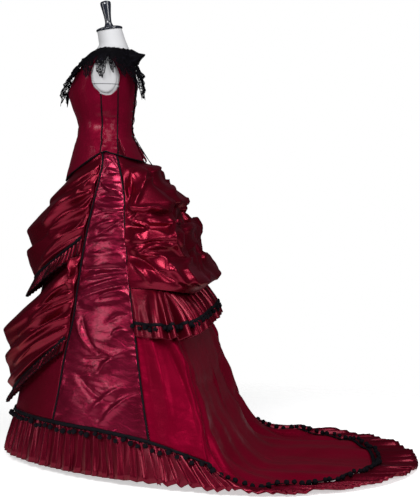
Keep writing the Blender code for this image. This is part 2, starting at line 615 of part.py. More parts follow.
# Back lacing: a placket behind the opening, one lace zigzagging over it and its two free ends
placket_heights = [0.0] + BACK_ROWS[4:-3]
placket, placket_out = bodice_grid(placket_heights, lambda h: 180.0 - around(180.0, h, LACING_HALF + 0.012),
                                   lambda h: 180.0 + around(180.0, h, LACING_HALF + 0.012), [0, 0.5, 1],
                                   BODICE_WALL + 0.0010)
shell("bodice_placket", placket, placket_out, 0.0010, BLACK)
lace_line = []
LACE_TURNS = 9
for k in range(LACE_TURNS + 1):
    h = 0.245 - 0.245 * k / LACE_TURNS
    a = 180.0 + (1 if k % 2 else -1) * around(180.0, h, LACING_HALF + 0.006)
    lace_line.append(bodice_point(a, h) + bodice_out(a, h) * 0.0034)
cord("bodice_lacing", lace_line, 0.0014, BLACK, 1)


# Skirt panels: front, two sides, two halves of the train
def pucker(u, share):
    return math.sin(math.pi * u)**0.7 * sum(h * math.exp(-((share - c) / w)**2) for c, w, h in PUCKERS)


def train_fold(angle, share):
    rise = smoothstep(0.45, 1.0, share) * smoothstep(69, 77, from_front(angle))
    return rise * sum(h * math.exp(-((from_front(angle) - c) / w)**2) for c, w, h in TRAIN_FOLDS)


def panel(shares, left, right, columns, fold):
    points, out = [], []
    for v in shares:
        a, b = left(v), right(v)
        points.append([]), out.append([])
        for t in columns:
            angle = a + (b - a) * t
            n = skirt_out(angle, v)
            points[-1].append(skirt(angle, v) + n * fold(t, angle, v))
            out[-1].append(n)
    return np.array(points), np.array(out)


PANEL_EDGE = PIPING + 2 * SEAM_GAP
FRONT_COLUMNS = [0, 0.12, 0.25, 0.38, 0.5, 0.62, 0.75, 0.88, 1]
BOTTOM = 0.9996
seam_shares = [0.0, 0.05, 0.10, 0.16, 0.23, 0.31, 0.42, 0.53, 0.65, 0.77, 0.89, BOTTOM]
front_panel, front_panel_out = panel(
    seam_shares,
    lambda v: -front_seam(v) + beside(front_seam, skirt, v, PANEL_EDGE),
    lambda v: front_seam(v) - beside(front_seam, skirt, v, PANEL_EDGE),
    FRONT_COLUMNS, lambda t, a, v: 0.0)
shell("skirt_front", front_panel, front_panel_out, TAFFETA, WINE)
side_panel, side_panel_out = panel(
    seam_shares, lambda v: front_seam(v) + beside(front_seam, skirt, v, PANEL_EDGE),
    lambda v: back_seam(v) - beside(back_seam, skirt, v, PANEL_EDGE), [0, 0.25, 0.5, 0.75, 1],
    lambda t, a, v: pucker(t, v))
train_panel, train_panel_out = panel(
    seam_shares,
    lambda v: back_seam(v) + beside(back_seam, skirt, v, PANEL_EDGE),
    lambda v: 180.0 - step_in(180.0, v, SEAM_GAP / 2), TRAIN_COLUMNS,
    lambda t, a, v: train_fold(a, v))
front_piping = [skirt(front_seam(v), v) - skirt_out(front_seam(v), v) * TAFFETA / 2 for v in seam_shares]
back_piping = [skirt(back_seam(v), v) - skirt_out(back_seam(v), v) * TAFFETA / 2 for v in [0.012] + seam_shares[1:]]
for side, sign in (("left", 1), ("right", -1)):
    turn = (lambda g: g) if sign > 0 else mirrored
    shell(f"skirt_side_{side}", turn(side_panel), turn(side_panel_out), TAFFETA, WINE)
    shell(f"skirt_train_{side}", turn(train_panel), turn(train_panel_out), TAFFETA, WINE)
    cord(f"skirt_piping_front_{side}", np.array(front_piping) * (sign, 1, 1), PIPING, BLACK)
    cord(f"skirt_piping_back_{side}", np.array(back_piping) * (sign, 1, 1), PIPING, BLACK)


# Hem flounce: knife pleats sewn on along the panels' lower edges
def hem_strip(name, grid, out, angles, ends, flip):
    """Pleated strip under one panel's lower edge; angles are those of the panel's bottom corners.
    Its ends meet the next strips on the seam lines."""
    line, line_out = grid[-1].copy(), out[-1]
    angles = np.array(angles)
    for k, seam in ((0, ends[0]), (-1, ends[1])):
        line[k] = skirt(seam, BOTTOM) + skirt_out(seam, BOTTOM) * train_fold(seam, 1.0)
        angles[k] = seam
    marks = split_evenly(line, PLEAT_PITCH)
    top, low, top_out, low_out = [], [], [], []
    stops = []
    for i in range(len(marks) - 1):
        stops += [(marks[i], 0.0), (marks[i] + (marks[i + 1] - marks[i]) * (0.30 if flip else 0.70), 1.0)]
    stops.append((marks[-1], 0.0))
    for mark, crest in stops:
        angle = float(along(angles, mark))
        n = unit(along(line_out, mark))
        end = hem_share(angle)
        d = unit(skirt(angle, 1.02) - skirt(angle, 1.0))
        fold = train_fold(angle, 1.0)
        n_end = skirt_out(angle, end - 0.01)
        lie = from_front(angle) > 96
        top.append(along(line, mark) + d * (4 * SEAM_GAP) + n * 0.0030 * crest)
        low.append(skirt(angle, end) + n_end * (fold * 0.85 + (0.0085 if not lie else 0.0065) * crest))
        top_out.append(n)
        low_out.append(n_end)
    shell(name, np.array([top, low]), np.array([top_out, low_out]), TAFFETA, WINE)


def bottom_angles(left, right, columns):
    return [left + (right - left) * t for t in columns]


v = BOTTOM
edge_f = step_in(front_seam(v), v, PANEL_EDGE)
edge_b = step_in(back_seam(v), v, PANEL_EDGE)
front_angles = bottom_angles(-front_seam(v) + edge_f, front_seam(v) - edge_f, FRONT_COLUMNS)
side_angles = bottom_angles(front_seam(v) + edge_f, back_seam(v) - edge_b, [0, 0.25, 0.5, 0.75, 1])
train_angles = bottom_angles(back_seam(v) + edge_b, 180.0 - step_in(180.0, v, SEAM_GAP / 2), TRAIN_COLUMNS)
meet_f, meet_b = step_in(front_seam(v), v, SEAM_GAP), step_in(back_seam(v), v, SEAM_GAP)
meet_c = 180.0 - step_in(180.0, v, SEAM_GAP / 2)
front_end, side_end = front_seam(v) - meet_f, (front_seam(v) + meet_f, back_seam(v) - meet_b)
train_end = (back_seam(v) + meet_b, meet_c)
hem_strip("hem_flounce_front", front_panel, front_panel_out, front_angles, (-front_end, front_end), False)
hem_strip("hem_flounce_left", side_panel, side_panel_out, side_angles, side_end, False)
hem_strip("hem_flounce_train_left", train_panel, train_panel_out, train_angles, train_end, False)
hem_strip("hem_flounce_right", mirrored(side_panel), mirrored(side_panel_out),
          [360 - a for a in reversed(side_angles)], (360 - side_end[1], 360 - side_end[0]), False)
hem_strip("hem_flounce_train_right", mirrored(train_panel), mirrored(train_panel_out),
          [360 - a for a in reversed(train_angles)], (360 - train_end[1], 360 - train_end[0]), False)

# Braid with pompoms over the top of the flounce, all round
ring_at, ring_out, ring_angle = [], [], []
for grid, out, angles in ((front_panel[:, 4:], front_panel_out[:, 4:], front_angles[4:]), (side_panel, side_panel_out, side_angles),
                          (train_panel, train_panel_out, train_angles)):
    marks = split_evenly(grid[-1], POMPOM_PITCH)
    for m in marks[:-1]:
        ring_at.append(along(grid[-1], m))
        ring_out.append(unit(along(out[-1], m)))
        ring_angle.append(float(along(np.array(angles), m)))
last = len(ring_at)
ring_at.append(skirt(180.0, BOTTOM) + skirt_out(180.0, BOTTOM) * train_fold(180.0, 1.0))
ring_out.append(skirt_out(180.0, BOTTOM))
ring_angle.append(180.0)
for k in range(last - 1, 0, -1):
    ring_at.append(ring_at[k] * (-1, 1, 1))
    ring_out.append(ring_out[k] * (-1, 1, 1))
    ring_angle.append(360 - ring_angle[k])
ring_end = [skirt(a, hem_share(a)) + skirt_out(a, hem_share(a) - 0.01) * train_fold(a, 1.0) * 0.85 for a in ring_angle]
ring_down = unit(np.array(ring_end) - np.array(ring_at))
ring_out = np.array(ring_out)
ring_out = unit(ring_out - ring_down * np.sum(ring_out * ring_down, axis=1, keepdims=True))
ring_at = np.array(ring_at) + ring_down * 0.0078
braid("hem_pompom_trim", ring_at, ring_out, ring_down, 0.015, 0.0018, 0.0068, BLACK, POMPOM, 0.019, 0.0072, True)


# Aprons: swags from side seam to side seam, deepest at the front
def apron(rows, columns, lift=0.0):
    points = []
    for v_front, d_front, v_side, d_side in rows:
        points.append([])
        for u in columns:
            k = abs(u)
            v = v_front + (v_side - v_front) * k**1.45
            edge = front_seam(v) - beside(front_seam, skirt, v, PANEL_EDGE + 0.0006)
            angle = u * edge
            stand = d_front + (d_side - d_front) * (1 - (1 - k**1.5)**1.2)
            points[-1].append(skirt(angle, v) + skirt_out(angle, v, True) * (stand + lift))
    return np.array(points)


APRON_COLUMNS = [-1, -0.93, -0.82, -0.70, -0.57, -0.44, -0.31, -0.19, -0.08, 0.08, 0.19, 0.31, 0.44, 0.57, 0.70, 0.82,
                 0.93, 1]
upper = apron(UPPER_APRON, APRON_COLUMNS)
lower = apron(LOWER_APRON, APRON_COLUMNS)
shell("apron_upper", upper, grid_out(upper), DRAPE_WALL, WINE)
shell("apron_lower", lower, grid_out(lower), DRAPE_WALL, WINE)


def ruffle(name, rows, grid, depth, stand):
    """Knife-pleated ruffle sewn over an apron's lower edge; it hangs along the skirt."""
    v_front, d_front, v_side, d_side = rows[-1]
    out = grid_out(grid)
    line = grid[-1] * 0.80 + grid[-2] * 0.20
    n = unit(out[-1] * 0.7 + out[-2] * 0.3)
    line[0] += unit(line[1] - line[0]) * 0.006
    line[-1] += unit(line[-2] - line[-1]) * 0.006
    marks = split_evenly(line, RUFFLE_PITCH)
    stops = []
    for i in range(len(marks) - 1):
        stops += [(marks[i], 0.0), (marks[i] + (marks[i + 1] - marks[i]) * 0.65, 1.0)]
    stops.append((marks[-1], 0.0))
    tops, ends, outs = [], [], []
    for mark, crest in stops:
        u = float(along(np.array(APRON_COLUMNS), mark))
        k = abs(u)
        v = v_front + (v_side - v_front) * k**1.45
        v += depth / skirt_length(u * front_seam(v))
        edge = front_seam(v) - step_in(front_seam(v), v, PANEL_EDGE + 0.004)
        angle = u * edge
        level = skirt_out(angle, v, True)
        end_fade = min(1.0, min(mark, len(line) - 1 - mark) / 2.0)
        d = d_front + (d_side - d_front) * (1 - (1 - k**1.5)**1.2) + DRAPE_WALL + 0.0010 + stand * end_fade
        tops.append(along(line, mark) + unit(along(n, mark)) * (TAFFETA + 0.0006 + 0.0022 * crest))
        ends.append(skirt(angle, v) + level * (d + 0.0060 * crest))
        outs.append(level)
    shell(name, np.array([tops, ends]), np.array([outs, outs]), TAFFETA, WINE)
    return line, n


for name, rows, grid, depth, stand in (("apron_upper_ruffle", UPPER_APRON, upper, 0.050, 0.016),
                                       ("apron_lower_ruffle", LOWER_APRON, lower, 0.040, 0.012)):
    line, n = ruffle(name, rows, grid, depth, stand)
    braid(name.replace("ruffle", "braid"), line + (0, 0, 0.003), n, np.array([[0, 0, -1.0]] * len(line)), 0.010, 0.0016,
          DRAPE_WALL + 0.0051, BLACK)


# Bustle and the flounce under it
def to_line(u, w, fold):
    (u0, w0, u1, w1) = fold[:4]
    length = (u1 - u0)**2 + (w1 - w0)**2
    t = min(max(((u - u0) * (u1 - u0) + (w - w0) * (w1 - w0)) / length, 0), 1)
    return math.hypot(u - u0 - t * (u1 - u0), w - w0 - t * (w1 - w0))


def back_angle(z, u):
    """Angle at a share u of the way from the left back seam (0) to the right one (2), at a height."""
    k = min(u, 2 - u)
    share = share_at(95.0, z)
    for _ in range(3):
        start = back_seam(share) + beside(back_seam, skirt, share, PANEL_EDGE + 0.0006)
        share = share_at(start, z)
    angle = start + (180.0 - start) * k
    return angle if u <= 1 else 360.0 - angle


bustle = []
half_columns = [0, 0.05, 0.11, 0.18, 0.25, 0.32, 0.39, 0.46, 0.53, 0.60, 0.68, 0.76, 0.84, 0.92, 1.0]
back_columns = half_columns + [2 - u for u in reversed(half_columns[:-1])]
for row, (z_back, d_back, z_side, d_side) in enumerate(BUSTLE):
    bustle.append([])
    w = row / (len(BUSTLE) - 1)
    for u in back_columns:
        k = min(u, 2 - u)
        mix = smoothstep(0.0, 0.85, k)
        z = z_side + (z_back - z_side) * mix
        angle = back_angle(z, u)
        v = share_at(angle, z)
        stand = d_side + (d_back - d_side) * smoothstep(-0.1, 0.75, k) ** 1.1
        inside = min(1.0, max(0, row - 1) / 2) * min(1.0, (len(BUSTLE) - 1 - row) / 1.5) * min(1.0, k / 0.10)
        stand += inside * sum(f[4] * math.exp(-(to_line(k, w, f) / f[5])**2) for f in BUSTLE_FOLDS)
        bustle[-1].append(skirt(angle, v) + skirt_out(angle, v, True) * max(stand, 0.0026))
bustle = np.array(bustle)
shell("bustle", bustle, grid_out(bustle), DRAPE_WALL, WINE)

flounce = []
for z, stand, wave in BACK_FLOUNCE:
    flounce.append([])
    for k in range(2 * FLOUNCE_WAVES + 1):
        u = 2.0 * k / (2 * FLOUNCE_WAVES)
        grow = min(1.0, min(u, 2 - u) / 0.16)**0.7
        angle = back_angle(z, u)
        v = share_at(angle, z)
        d = 0.0026 + (stand - 0.0026) * grow + wave * (1 if k % 2 else -1) * (0.35 + 0.65 * grow)
        flounce[-1].append(skirt(angle, v) + skirt_out(angle, v, True) * max(d, 0.0022))
flounce = np.array(flounce)
flounce_out = grid_out(flounce)
shell("back_flounce", flounce, flounce_out, TAFFETA, WINE)
near = flounce[-1] * 0.76 + flounce[-2] * 0.24
braid("back_flounce_pompom_trim", near, unit(flounce_out[-1] + flounce_out[-2] * 0.3), unit(flounce[-1] - flounce[-2]),
      0.012, 0.0018, 0.0028, BLACK, POMPOM * 0.80, 0.017, 0.0062)

# Lace collar: a leaf-pointed edge over the shoulders, cut through between the motifs
collar, collar_out = [], []
LACE_STEPS = [0.0, 0.18, 0.38, 0.60, 0.80, 1.0]
for g in LACE_STEPS:
    collar.append([]), collar_out.append([])
    for angle, z_edge, stand in LACE_EDGE:
        top = 0.2860 * neck_scale(angle)
        h = top + (z_edge - WAIST_Z - top) * g
        scale = neck_scale(angle)
        k = h
        for _ in range(4):
            k = h / (1 - (1 - scale) * smoothstep(0.10, 0.296, k))
        k = min(k, 0.296)
        n = bodice_out(angle, k)
        lift = 0.0042 - 0.0025 * (g == 0) + stand * g**2.4
        if angle > 166:
            lift += 0.043 * smoothstep(166, 179, angle) * (math.exp(-((g - 0.17) / 0.13)**2)
                                                         + 0.40 * math.exp(-((g - 0.62) / 0.20)**2))
        collar[-1].append(bodice_point(angle, k) + n * lift)
        collar_out[-1].append(n)
collar, collar_out = np.array(collar), np.array(collar_out)
holes = [(r, c) for r, first in ((1, 1), (3, 2)) for c in range(first, collar.shape[1] - 2, 2)]
for side, sign in (("left", 1), ("right", -1)):
    turn = (lambda g: g) if sign > 0 else mirrored
    cut = holes if sign > 0 else [(r, collar.shape[1] - 2 - c) for r, c in holes]
    shell(f"lace_collar_{side}", turn(collar), turn(collar_out), LACE_WALL, LACE, cut)

# Free ends of the lacing, from the waist down to the top of the bustle
for side, sign in (("left", 1), ("right", -1)):
    hold = 180.0 - sign * around(180.0, -0.05, 0.0165)
    start = bodice_point(hold, -0.05) + bodice_out(hold, -0.05) * 0.0018
    steps = [0, 0.25, 0.5, 0.75, 1]
    path = [start + np.array([sign * 0.010 * t, (0.062 + 0.006 * sign) * t ** 1.05, -0.094 * t]) for t in steps]
    cord(f"lacing_end_{side}", path, 0.0014, BLACK, 1)
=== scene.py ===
"""Victorian ball gown of wine taffeta with black lace and pompom trims, on a limbless dress form.

Metres, +Z up. The gown faces -Y, the wearer's left is +X and the train runs to +Y.
Angles round the body are in degrees: 0 at the front, 90 at the left side, 180 at the back.
"""
import math

import bpy
import numpy as np
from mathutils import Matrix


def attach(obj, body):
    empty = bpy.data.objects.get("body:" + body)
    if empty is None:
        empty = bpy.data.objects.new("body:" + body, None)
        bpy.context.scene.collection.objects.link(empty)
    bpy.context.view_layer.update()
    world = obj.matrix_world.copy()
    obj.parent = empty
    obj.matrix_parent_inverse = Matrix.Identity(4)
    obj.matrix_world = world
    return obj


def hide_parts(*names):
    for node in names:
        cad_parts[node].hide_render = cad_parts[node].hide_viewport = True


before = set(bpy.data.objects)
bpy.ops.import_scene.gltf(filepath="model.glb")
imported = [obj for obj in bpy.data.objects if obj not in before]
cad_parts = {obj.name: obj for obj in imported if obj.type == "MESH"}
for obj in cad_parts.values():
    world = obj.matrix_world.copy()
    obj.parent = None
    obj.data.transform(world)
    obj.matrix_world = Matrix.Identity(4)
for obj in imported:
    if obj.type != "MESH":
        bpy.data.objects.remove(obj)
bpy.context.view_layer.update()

# Camera: level with the bodice, at the wearer's left and a little behind
CAMERA_PLACE = (4.258, 0.956, 1.044)
CAMERA_TURN = 98.0      # degrees from +Y
CAMERA_DIP = 4.44       # degrees below the horizon


def linked(name, data):
    """A new object of the scene, at rest at the origin."""
    thing = bpy.data.objects.new(name, data)
    bpy.context.scene.collection.objects.link(thing)
    return thing


camera_data = bpy.data.cameras.new("camera")
camera_data.sensor_fit = "VERTICAL"
camera_data.sensor_height = 36.0
camera_data.lens = 92.7
camera = linked("camera", camera_data)
camera.location = CAMERA_PLACE
camera.rotation_euler = (math.radians(90 - CAMERA_DIP), 0, math.radians(CAMERA_TURN))
bpy.context.scene.camera = camera


# The skirt's line: every panel, apron and drape is measured from one line from waist to hem for each angle.
# The cloth hangs straight at the front and sides and lies down on the floor behind.
WAIST_Z = 1.09
WAIST = (0.118, 0.083, 0.090)      # half width, front depth, back depth
HEM_HALF_WIDTH = 0.475
HEM_FRONT = -0.355
TRAIN_TIP = 1.055
HEM_WIDEST = 0.50
LAND = (0.427, 0.433, 0.478)       # where the back touches the floor: half width, Y at the sides, Y at the centre
FLOUNCE_DEPTH = 0.150
FLOOR_GAP = 0.003
FRONT_LIFT = 0.016                 # how much higher the hem hangs in front
SEAM_GAP = 0.0003
PIPING = 0.0024
PANEL_EDGE = PIPING + 2 * SEAM_GAP
BOTTOM = 0.9996                    # share of the panels' lower edge
# Seams as degrees from the front at shares down the skirt
FRONT_SEAM = [(0.0, 90.0), (0.089, 77.3), (0.193, 63.1), (0.305, 54.3), (0.506, 47.0),
              (0.653, 44.3), (0.783, 41.0), (0.878, 39.8), (0.967, 38.2), (1.0, 38.0)]
BACK_SEAM = [(0.0, 123.0), (0.102, 101.7), (0.303, 78.9), (0.444, 73.7),
             (0.643, 70.7), (0.837, 69.2), (0.98, 68.9), (1.0, 68.9)]


def unit(v):
    v = np.asarray(v, float)
    return v / np.maximum(np.linalg.norm(v, axis=-1, keepdims=True), 1e-12)


def lengths(line):
    """Distance along a line of points at each of them."""
    return np.concatenate([[0], np.cumsum(np.linalg.norm(np.diff(line, axis=0), axis=1))])


def sampled(rows, at, places):
    """Rows of values that are known at some places, read at others."""
    return np.stack([np.interp(places, at, column) for column in np.transpose(rows)], 1)


def curve_at(table, x):
    """Smooth value of a table with two columns."""
    xs = np.array([row[0] for row in table], float)
    ys = np.array([row[1] for row in table], float)
    x = min(max(x, xs[0]), xs[-1])
    slopes = np.gradient(ys, xs)
    i = min(int(np.searchsorted(xs, x, side="right")) - 1, len(xs) - 2)
    step = xs[i + 1] - xs[i]
    t = (x - xs[i]) / step
    return ((2 * t**3 - 3 * t**2 + 1) * ys[i] + (t**3 - 2 * t**2 + t) * step * slopes[i]
            + (3 * t**2 - 2 * t**3) * ys[i + 1] + (t**3 - t**2) * step * slopes[i + 1])


def smoothstep(a, b, x):
    t = np.clip((x - a) / (b - a), 0.0, 1.0)
    return t * t * (3 - 2 * t)


def from_front(angle):
    return np.abs((angle + 180.0) % 360.0 - 180.0)


lines = {}


def meridian(angle):
    """The skirt's line at an angle, from waist to floor: distance along it, and its points."""
    key = round(angle, 4)
    if key in lines:
        return lines[key]
    s, c = math.sin(math.radians(angle)), math.cos(math.radians(angle))
    top = np.array([WAIST[0] * s, -(WAIST[1] if c > 0 else WAIST[2]) * c, WAIST_Z])
    if c > 0:
        hem = np.array([HEM_HALF_WIDTH * math.copysign(abs(s)**1.25, s),
                        HEM_WIDEST - (HEM_WIDEST - HEM_FRONT) * c**1.25, FLOOR_GAP])
    else:
        hem = np.array([HEM_HALF_WIDTH * s, HEM_WIDEST - (TRAIN_TIP - HEM_WIDEST) * c, FLOOR_GAP])
    land = top + (hem - top) * (1 - 0.134 * (max(0.0, min(from_front(angle), 90) - 50) / 40)**1.3)
    if c < 0:
        land = np.array([LAND[0] * s, LAND[1] - (LAND[2] - LAND[1]) * c, 0.0])
    land[2] = hem[2] = FLOOR_GAP + FRONT_LIFT * (1 - smoothstep(62, 92, from_front(angle)))
    t = np.linspace(0, 1, 101)[:, None]
    hang = np.hstack([top[:2] + (land - top)[:2] * t**(1 - 0.25 * s * s), top[2] + (land[2] - top[2]) * t])
    lay = np.linalg.norm(hem - land)
    count = max(1, int(lay / 0.01))
    flat = land + (hem - land) * np.linspace(0, 1, count + 1)[1:, None]
    points = np.vstack([hang, flat]) if lay > 0.002 else hang
    run = lengths(points)
    line = sampled(points, run, np.linspace(0, run[-1], 201))
    bend = min(0.12, lay * 0.9) / (run[-1] / 200)
    half = int(bend) + 1
    back, ahead = np.arange(half, 0, -1)[:, None], np.arange(1, half + 1)[:, None]
    longer = np.vstack([line[0] - (line[1] - line[0]) * back, line, line[-1] + (line[-1] - line[-2]) * ahead])
    kernel = np.clip(bend + 0.5 - np.abs(np.arange(-half, half + 1)), 0, 1)
    line = np.stack([np.convolve(longer[:, k], kernel / kernel.sum(), "valid") for k in range(3)], 1)
    lines[key] = lengths(line), line
    return lines[key]


def skirt_length(angle):
    return meridian(angle)[0][-1] - FLOUNCE_DEPTH


def skirt(angle, share):
    """Point of the bare skirt: share 0 is the waist, 1 is the top of the hem flounce."""
    run, line = meridian(angle)
    s = share * (run[-1] - FLOUNCE_DEPTH)
    if s < 0:
        return line[0] + (line[0] - line[1]) / (run[1] - run[0]) * -s
    return np.array([np.interp(s, run, line[:, k]) for k in range(3)])


def hem_share(angle):
    """Share of the hem flounce's lower edge."""
    run = meridian(angle)[0]
    return run[-1] / (run[-1] - FLOUNCE_DEPTH)


def share_at(angle, z):
    run, line = meridian(angle)
    return float(np.interp(-z, -line[:, 2], run)) / (run[-1] - FLOUNCE_DEPTH)


def skirt_out(angle, share, level=False):
    """Outward direction of the skirt, or its level part."""
    across = skirt(angle + 0.6, share) - skirt(angle - 0.6, share)
    down = skirt(angle, min(share + 0.006, hem_share(angle))) - skirt(angle, share - 0.006)
    out = np.cross(down, across)
    if level:
        out[2] = 0.0
    return unit(out)


def front_seam(share):
    return curve_at(FRONT_SEAM, share)


def back_seam(share):
    return curve_at(BACK_SEAM, share)


def beside(seam, point, at, distance):
    """Degrees from a slanting seam to a line at a distance from it."""
    here = seam(at)
    run = unit(point(seam(at + 0.04), at + 0.04) - point(seam(at - 0.04), at - 0.04))
    across = point(here + 1.0, at) - point(here - 1.0, at)
    return 2 * distance / (np.linalg.norm(np.cross(run, across)) + 1e-9)


# Free ends of the back lacing: two limp black laces from the waist to the top of the bustle, their ends bare
HANDS = (("left", 1), ("right", -1))
LACE_THICK = 0.0028
LACE_ENDS = {"left": ((0.0165, 0.0998, 1.0867), (0.0265, 0.1678, 0.9927)),
             "right": ((-0.0165, 0.0998, 1.0867), (-0.0265, 0.1558, 0.9927))}


class Value:
    """A number that varies over a surface; Python's operators add the nodes that work it out."""

    def __init__(self, tree, socket):
        self.tree = tree
        self.socket = socket

    def join(self, operation, first, second):
        node = self.tree.nodes.new("ShaderNodeMath")
        node.operation = operation
        for slot, term in zip(node.inputs, (first, second)):
            if isinstance(term, Value):
                self.tree.links.new(term.socket, slot)
            else:
                slot.default_value = term
        return Value(self.tree, node.outputs[0])

    def __add__(self, other):
        return self.join("ADD", self, other)

    def __sub__(self, other):
        return self.join("SUBTRACT", self, other)

    def __rsub__(self, other):
        return self.join("SUBTRACT", other, self)

    def __mul__(self, other):
        return self.join("MULTIPLY", self, other)

    def __abs__(self):
        return self.join("ABSOLUTE", self, 0.0)

    def over(self, edge):
        return self.join("GREATER_THAN", self, edge)

    def at_most(self, top):
        return self.join("MINIMUM", self, top)

    __radd__ = __add__
    __rmul__ = __mul__


class Nodes:
    """A node tree under construction, with one method for every node."""

    def __init__(self, tree):
        self.tree = tree

    def node(self, kind, settings=None, out=0, **inputs):
        """A node with its settings; an input is named, or is i and its number."""
        node = self.tree.nodes.new(kind)
        for key, value in (settings or {}).items():
            setattr(node, key, value)
        for key, value in inputs.items():
            slot = node.inputs[int(key[1:])] if key[0] == "i" and key[1:].isdigit() else node.inputs[key]
            if isinstance(value, Value):
                self.tree.links.new(value.socket, slot)
            else:
                slot.default_value = value
        return Value(self.tree, node.outputs[out])


class Finish(Nodes):
    """A material under construction, with its shader."""

    def __init__(self, name, colour, roughness, **constants):
        self.material = bpy.data.materials.new(name)
        self.material.use_nodes = True
        super().__init__(self.material.node_tree)
        self.shader = self.tree.nodes["Principled BSDF"]
        self.shader.inputs["Base Color"].default_value = (*colour, 1.0)
        self.shader.inputs["Roughness"].default_value = roughness
        for key, value in constants.items():
            self.shader.inputs[key.replace("_", " ")].default_value = value
        self.material.diffuse_color = (*colour, 1.0)

    def place(self, scale, turn=0.0):
        """Metres along the cloth, from its UV map, stretched by a scale."""
        coordinates = self.node("ShaderNodeUVMap", {"uv_map": "cloth"})
        return self.node("ShaderNodeMapping", Vector=coordinates, Scale=scale, Rotation=(0, 0, turn))

    def noise(self, scale, detail=2.0, turn=0.0, rough=0.5):
        return self.node("ShaderNodeTexNoise", Vector=self.place(scale, turn), Scale=1.0, Detail=detail,
                         Roughness=rough)

    def speckle(self, scale, detail):
        """Noise over the object's own coordinates."""
        place = self.node("ShaderNodeTexCoord", out=3)
        return self.node("ShaderNodeTexNoise", Vector=place, Scale=scale, Detail=detail)

    def cells(self, feature, place, scale):
        return self.node("ShaderNodeTexVoronoi", {"feature": feature}, Vector=place, Scale=scale)

    def clamped(self, value):
        return self.node("ShaderNodeClamp", Value=value)

    def mix(self, share, first, second):
        first, second = (c if isinstance(c, Value) else (*c, 1) for c in (first, second))
        return self.node("ShaderNodeMix", {"data_type": "RGBA"}, out=2, i0=share, i6=first, i7=second)

    def feed(self, slot, value):
        self.tree.links.new(value.socket, self.shader.inputs[slot])

    def bump(self, height, depth, strength=1.0, under=None):
        inputs = {"Height": height, "Distance": depth, "Strength": strength}
        if under is not None:
            inputs["Normal"] = under
        return self.node("ShaderNodeBump", **inputs)


# The black of every trim: matt polyester with a twisted thread
def black_thread(name, twist, roughness=0.62):
    finish = Finish(name, (0.004, 0.003, 0.005), roughness, Specular_IOR_Level=0.06)
    thread = finish.noise((twist, twist * 0.35, 1.0), 3.0, 0.7)
    finish.feed("Base Color", finish.mix(thread, (0.001, 0.001, 0.0015), (0.006, 0.005, 0.008)))
    finish.feed("Normal", finish.bump(thread, 0.0004, 0.8))
    return finish.material


def ring_line(points, radius, sides):
    """Rings of points round a line of points."""
    run = unit(np.gradient(points, axis=0))
    side = unit(np.cross(run, (0.31, 0.22, 0.92)))[:, None]
    rise = np.cross(side, run[:, None])
    turn = (np.arange(sides) * 2 * math.pi / sides)[:, None]
    return points[:, None] + radius * (side * np.cos(turn) + rise * np.sin(turn))


def ring_faces(count, sides, first=0):
    """Faces that close a count of rings into one body, its two ends last."""
    last = first + (count - 1) * sides
    walls = [(r + k, r + sides + k, r + sides + (k + 1) % sides, r + (k + 1) % sides)
             for r in range(first, last, sides) for k in range(sides)]
    return walls + [tuple(first + k for k in range(sides)), tuple(last + k for k in reversed(range(sides)))]


def tube(name, points, radius, material, sides=8):
    """A round cord along a line of points, with a UV map that runs along it."""
    points = np.asarray(points, float)
    length = lengths(points)
    maps = [(length[r + i], (k + j) / sides * 0.01) for r in range(len(points) - 1) for k in range(sides)
            for i, j in ((0, 0), (1, 0), (1, 1), (0, 1))]
    maps += [(0.0, 0.0)] * 2 * sides
    rings = ring_line(points, radius, sides).reshape(-1, 3)
    return mesh_piece(name, rings.tolist(), ring_faces(len(points), sides), maps, material)


def mesh_piece(name, verts, faces, maps, material):
    mesh = bpy.data.meshes.new(name)
    mesh.from_pydata(verts, [], faces)
    if maps is not None:
        layer = mesh.uv_layers.new(name="cloth")
        layer.data.foreach_set("uv", np.asarray(maps, np.float32).ravel())
    mesh.polygons.foreach_set("use_smooth", np.ones(len(mesh.polygons), bool))
    mesh.materials.append(material)
    piece = linked(name, mesh)
    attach(piece, "root")
    return piece


LACING_BLACK = black_thread("lacing_cord", 900)
for side, (start, foot) in LACE_ENDS.items():
    start, foot = np.array(start), np.array(foot)
    path = [start + (foot - start) * (t, t**1.05, t) for t in np.linspace(0, 1, 17)]
    lace = tube(f"free_lace_{side}", path, LACE_THICK / 2, LACING_BLACK)
    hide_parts(f"lacing_end_{side}")
    0.117 if side == "left" else 0.110


# Wine taffeta: a fine ribbed weave with a strong silky sheen, a little uneven in colour and full of soft creases. Each
# part of the gown gets its own copy, its colours set darker or paler part by part: painted shade and painted highlight
def wine_taffeta(name, deep, bright, roughness=0.33, metallic=0.80, crush=1.0, gloss=0.16, streaks=(60, 130), turn=-0.6,
                 sheen=0.04):
    finish = Finish(name, bright, roughness, Metallic=metallic, Specular_IOR_Level=0.12, Sheen_Weight=sheen,
                    Specular_Tint=(0.45, 0.04, 0.10, 1.0), Coat_Weight=gloss, Coat_Roughness=0.24,
                    Sheen_Roughness=0.35, Sheen_Tint=(1.0, 0.2, 0.4, 1.0))
    slub = finish.noise((35, 1400, 1), 2.0)
    patch = finish.noise((9, 7, 1), 2.0)
    finish.feed("Base Color", finish.mix(patch * 0.7 + slub * 0.3, deep, bright))
    finish.feed("Roughness", slub * 0.10 + patch * 0.10 + (roughness - 0.10))
    rough = finish.noise((20, 48, 1), 4.0, 0.35, 0.6)
    crinkle = (abs(finish.noise((*streaks, 1), 2.0, turn) - 0.5) * 9.0).at_most(1.0)
    normal = finish.bump(rough, 0.0030 * crush, 0.8)
    normal = finish.bump(crinkle, 0.030 / streaks[1] * crush, 0.8, normal)
    finish.feed("Normal", finish.bump(slub, 0.00025, 0.6, normal))
    return finish.material


DEEP_WINE, BRIGHT_WINE = (0.120, 0.0008, 0.009), (0.240, 0.004, 0.027)
TAFFETA = wine_taffeta("wine_taffeta_skirt", DEEP_WINE, BRIGHT_WINE, crush=0.5)
TAFFETA_WALL = 0.0010


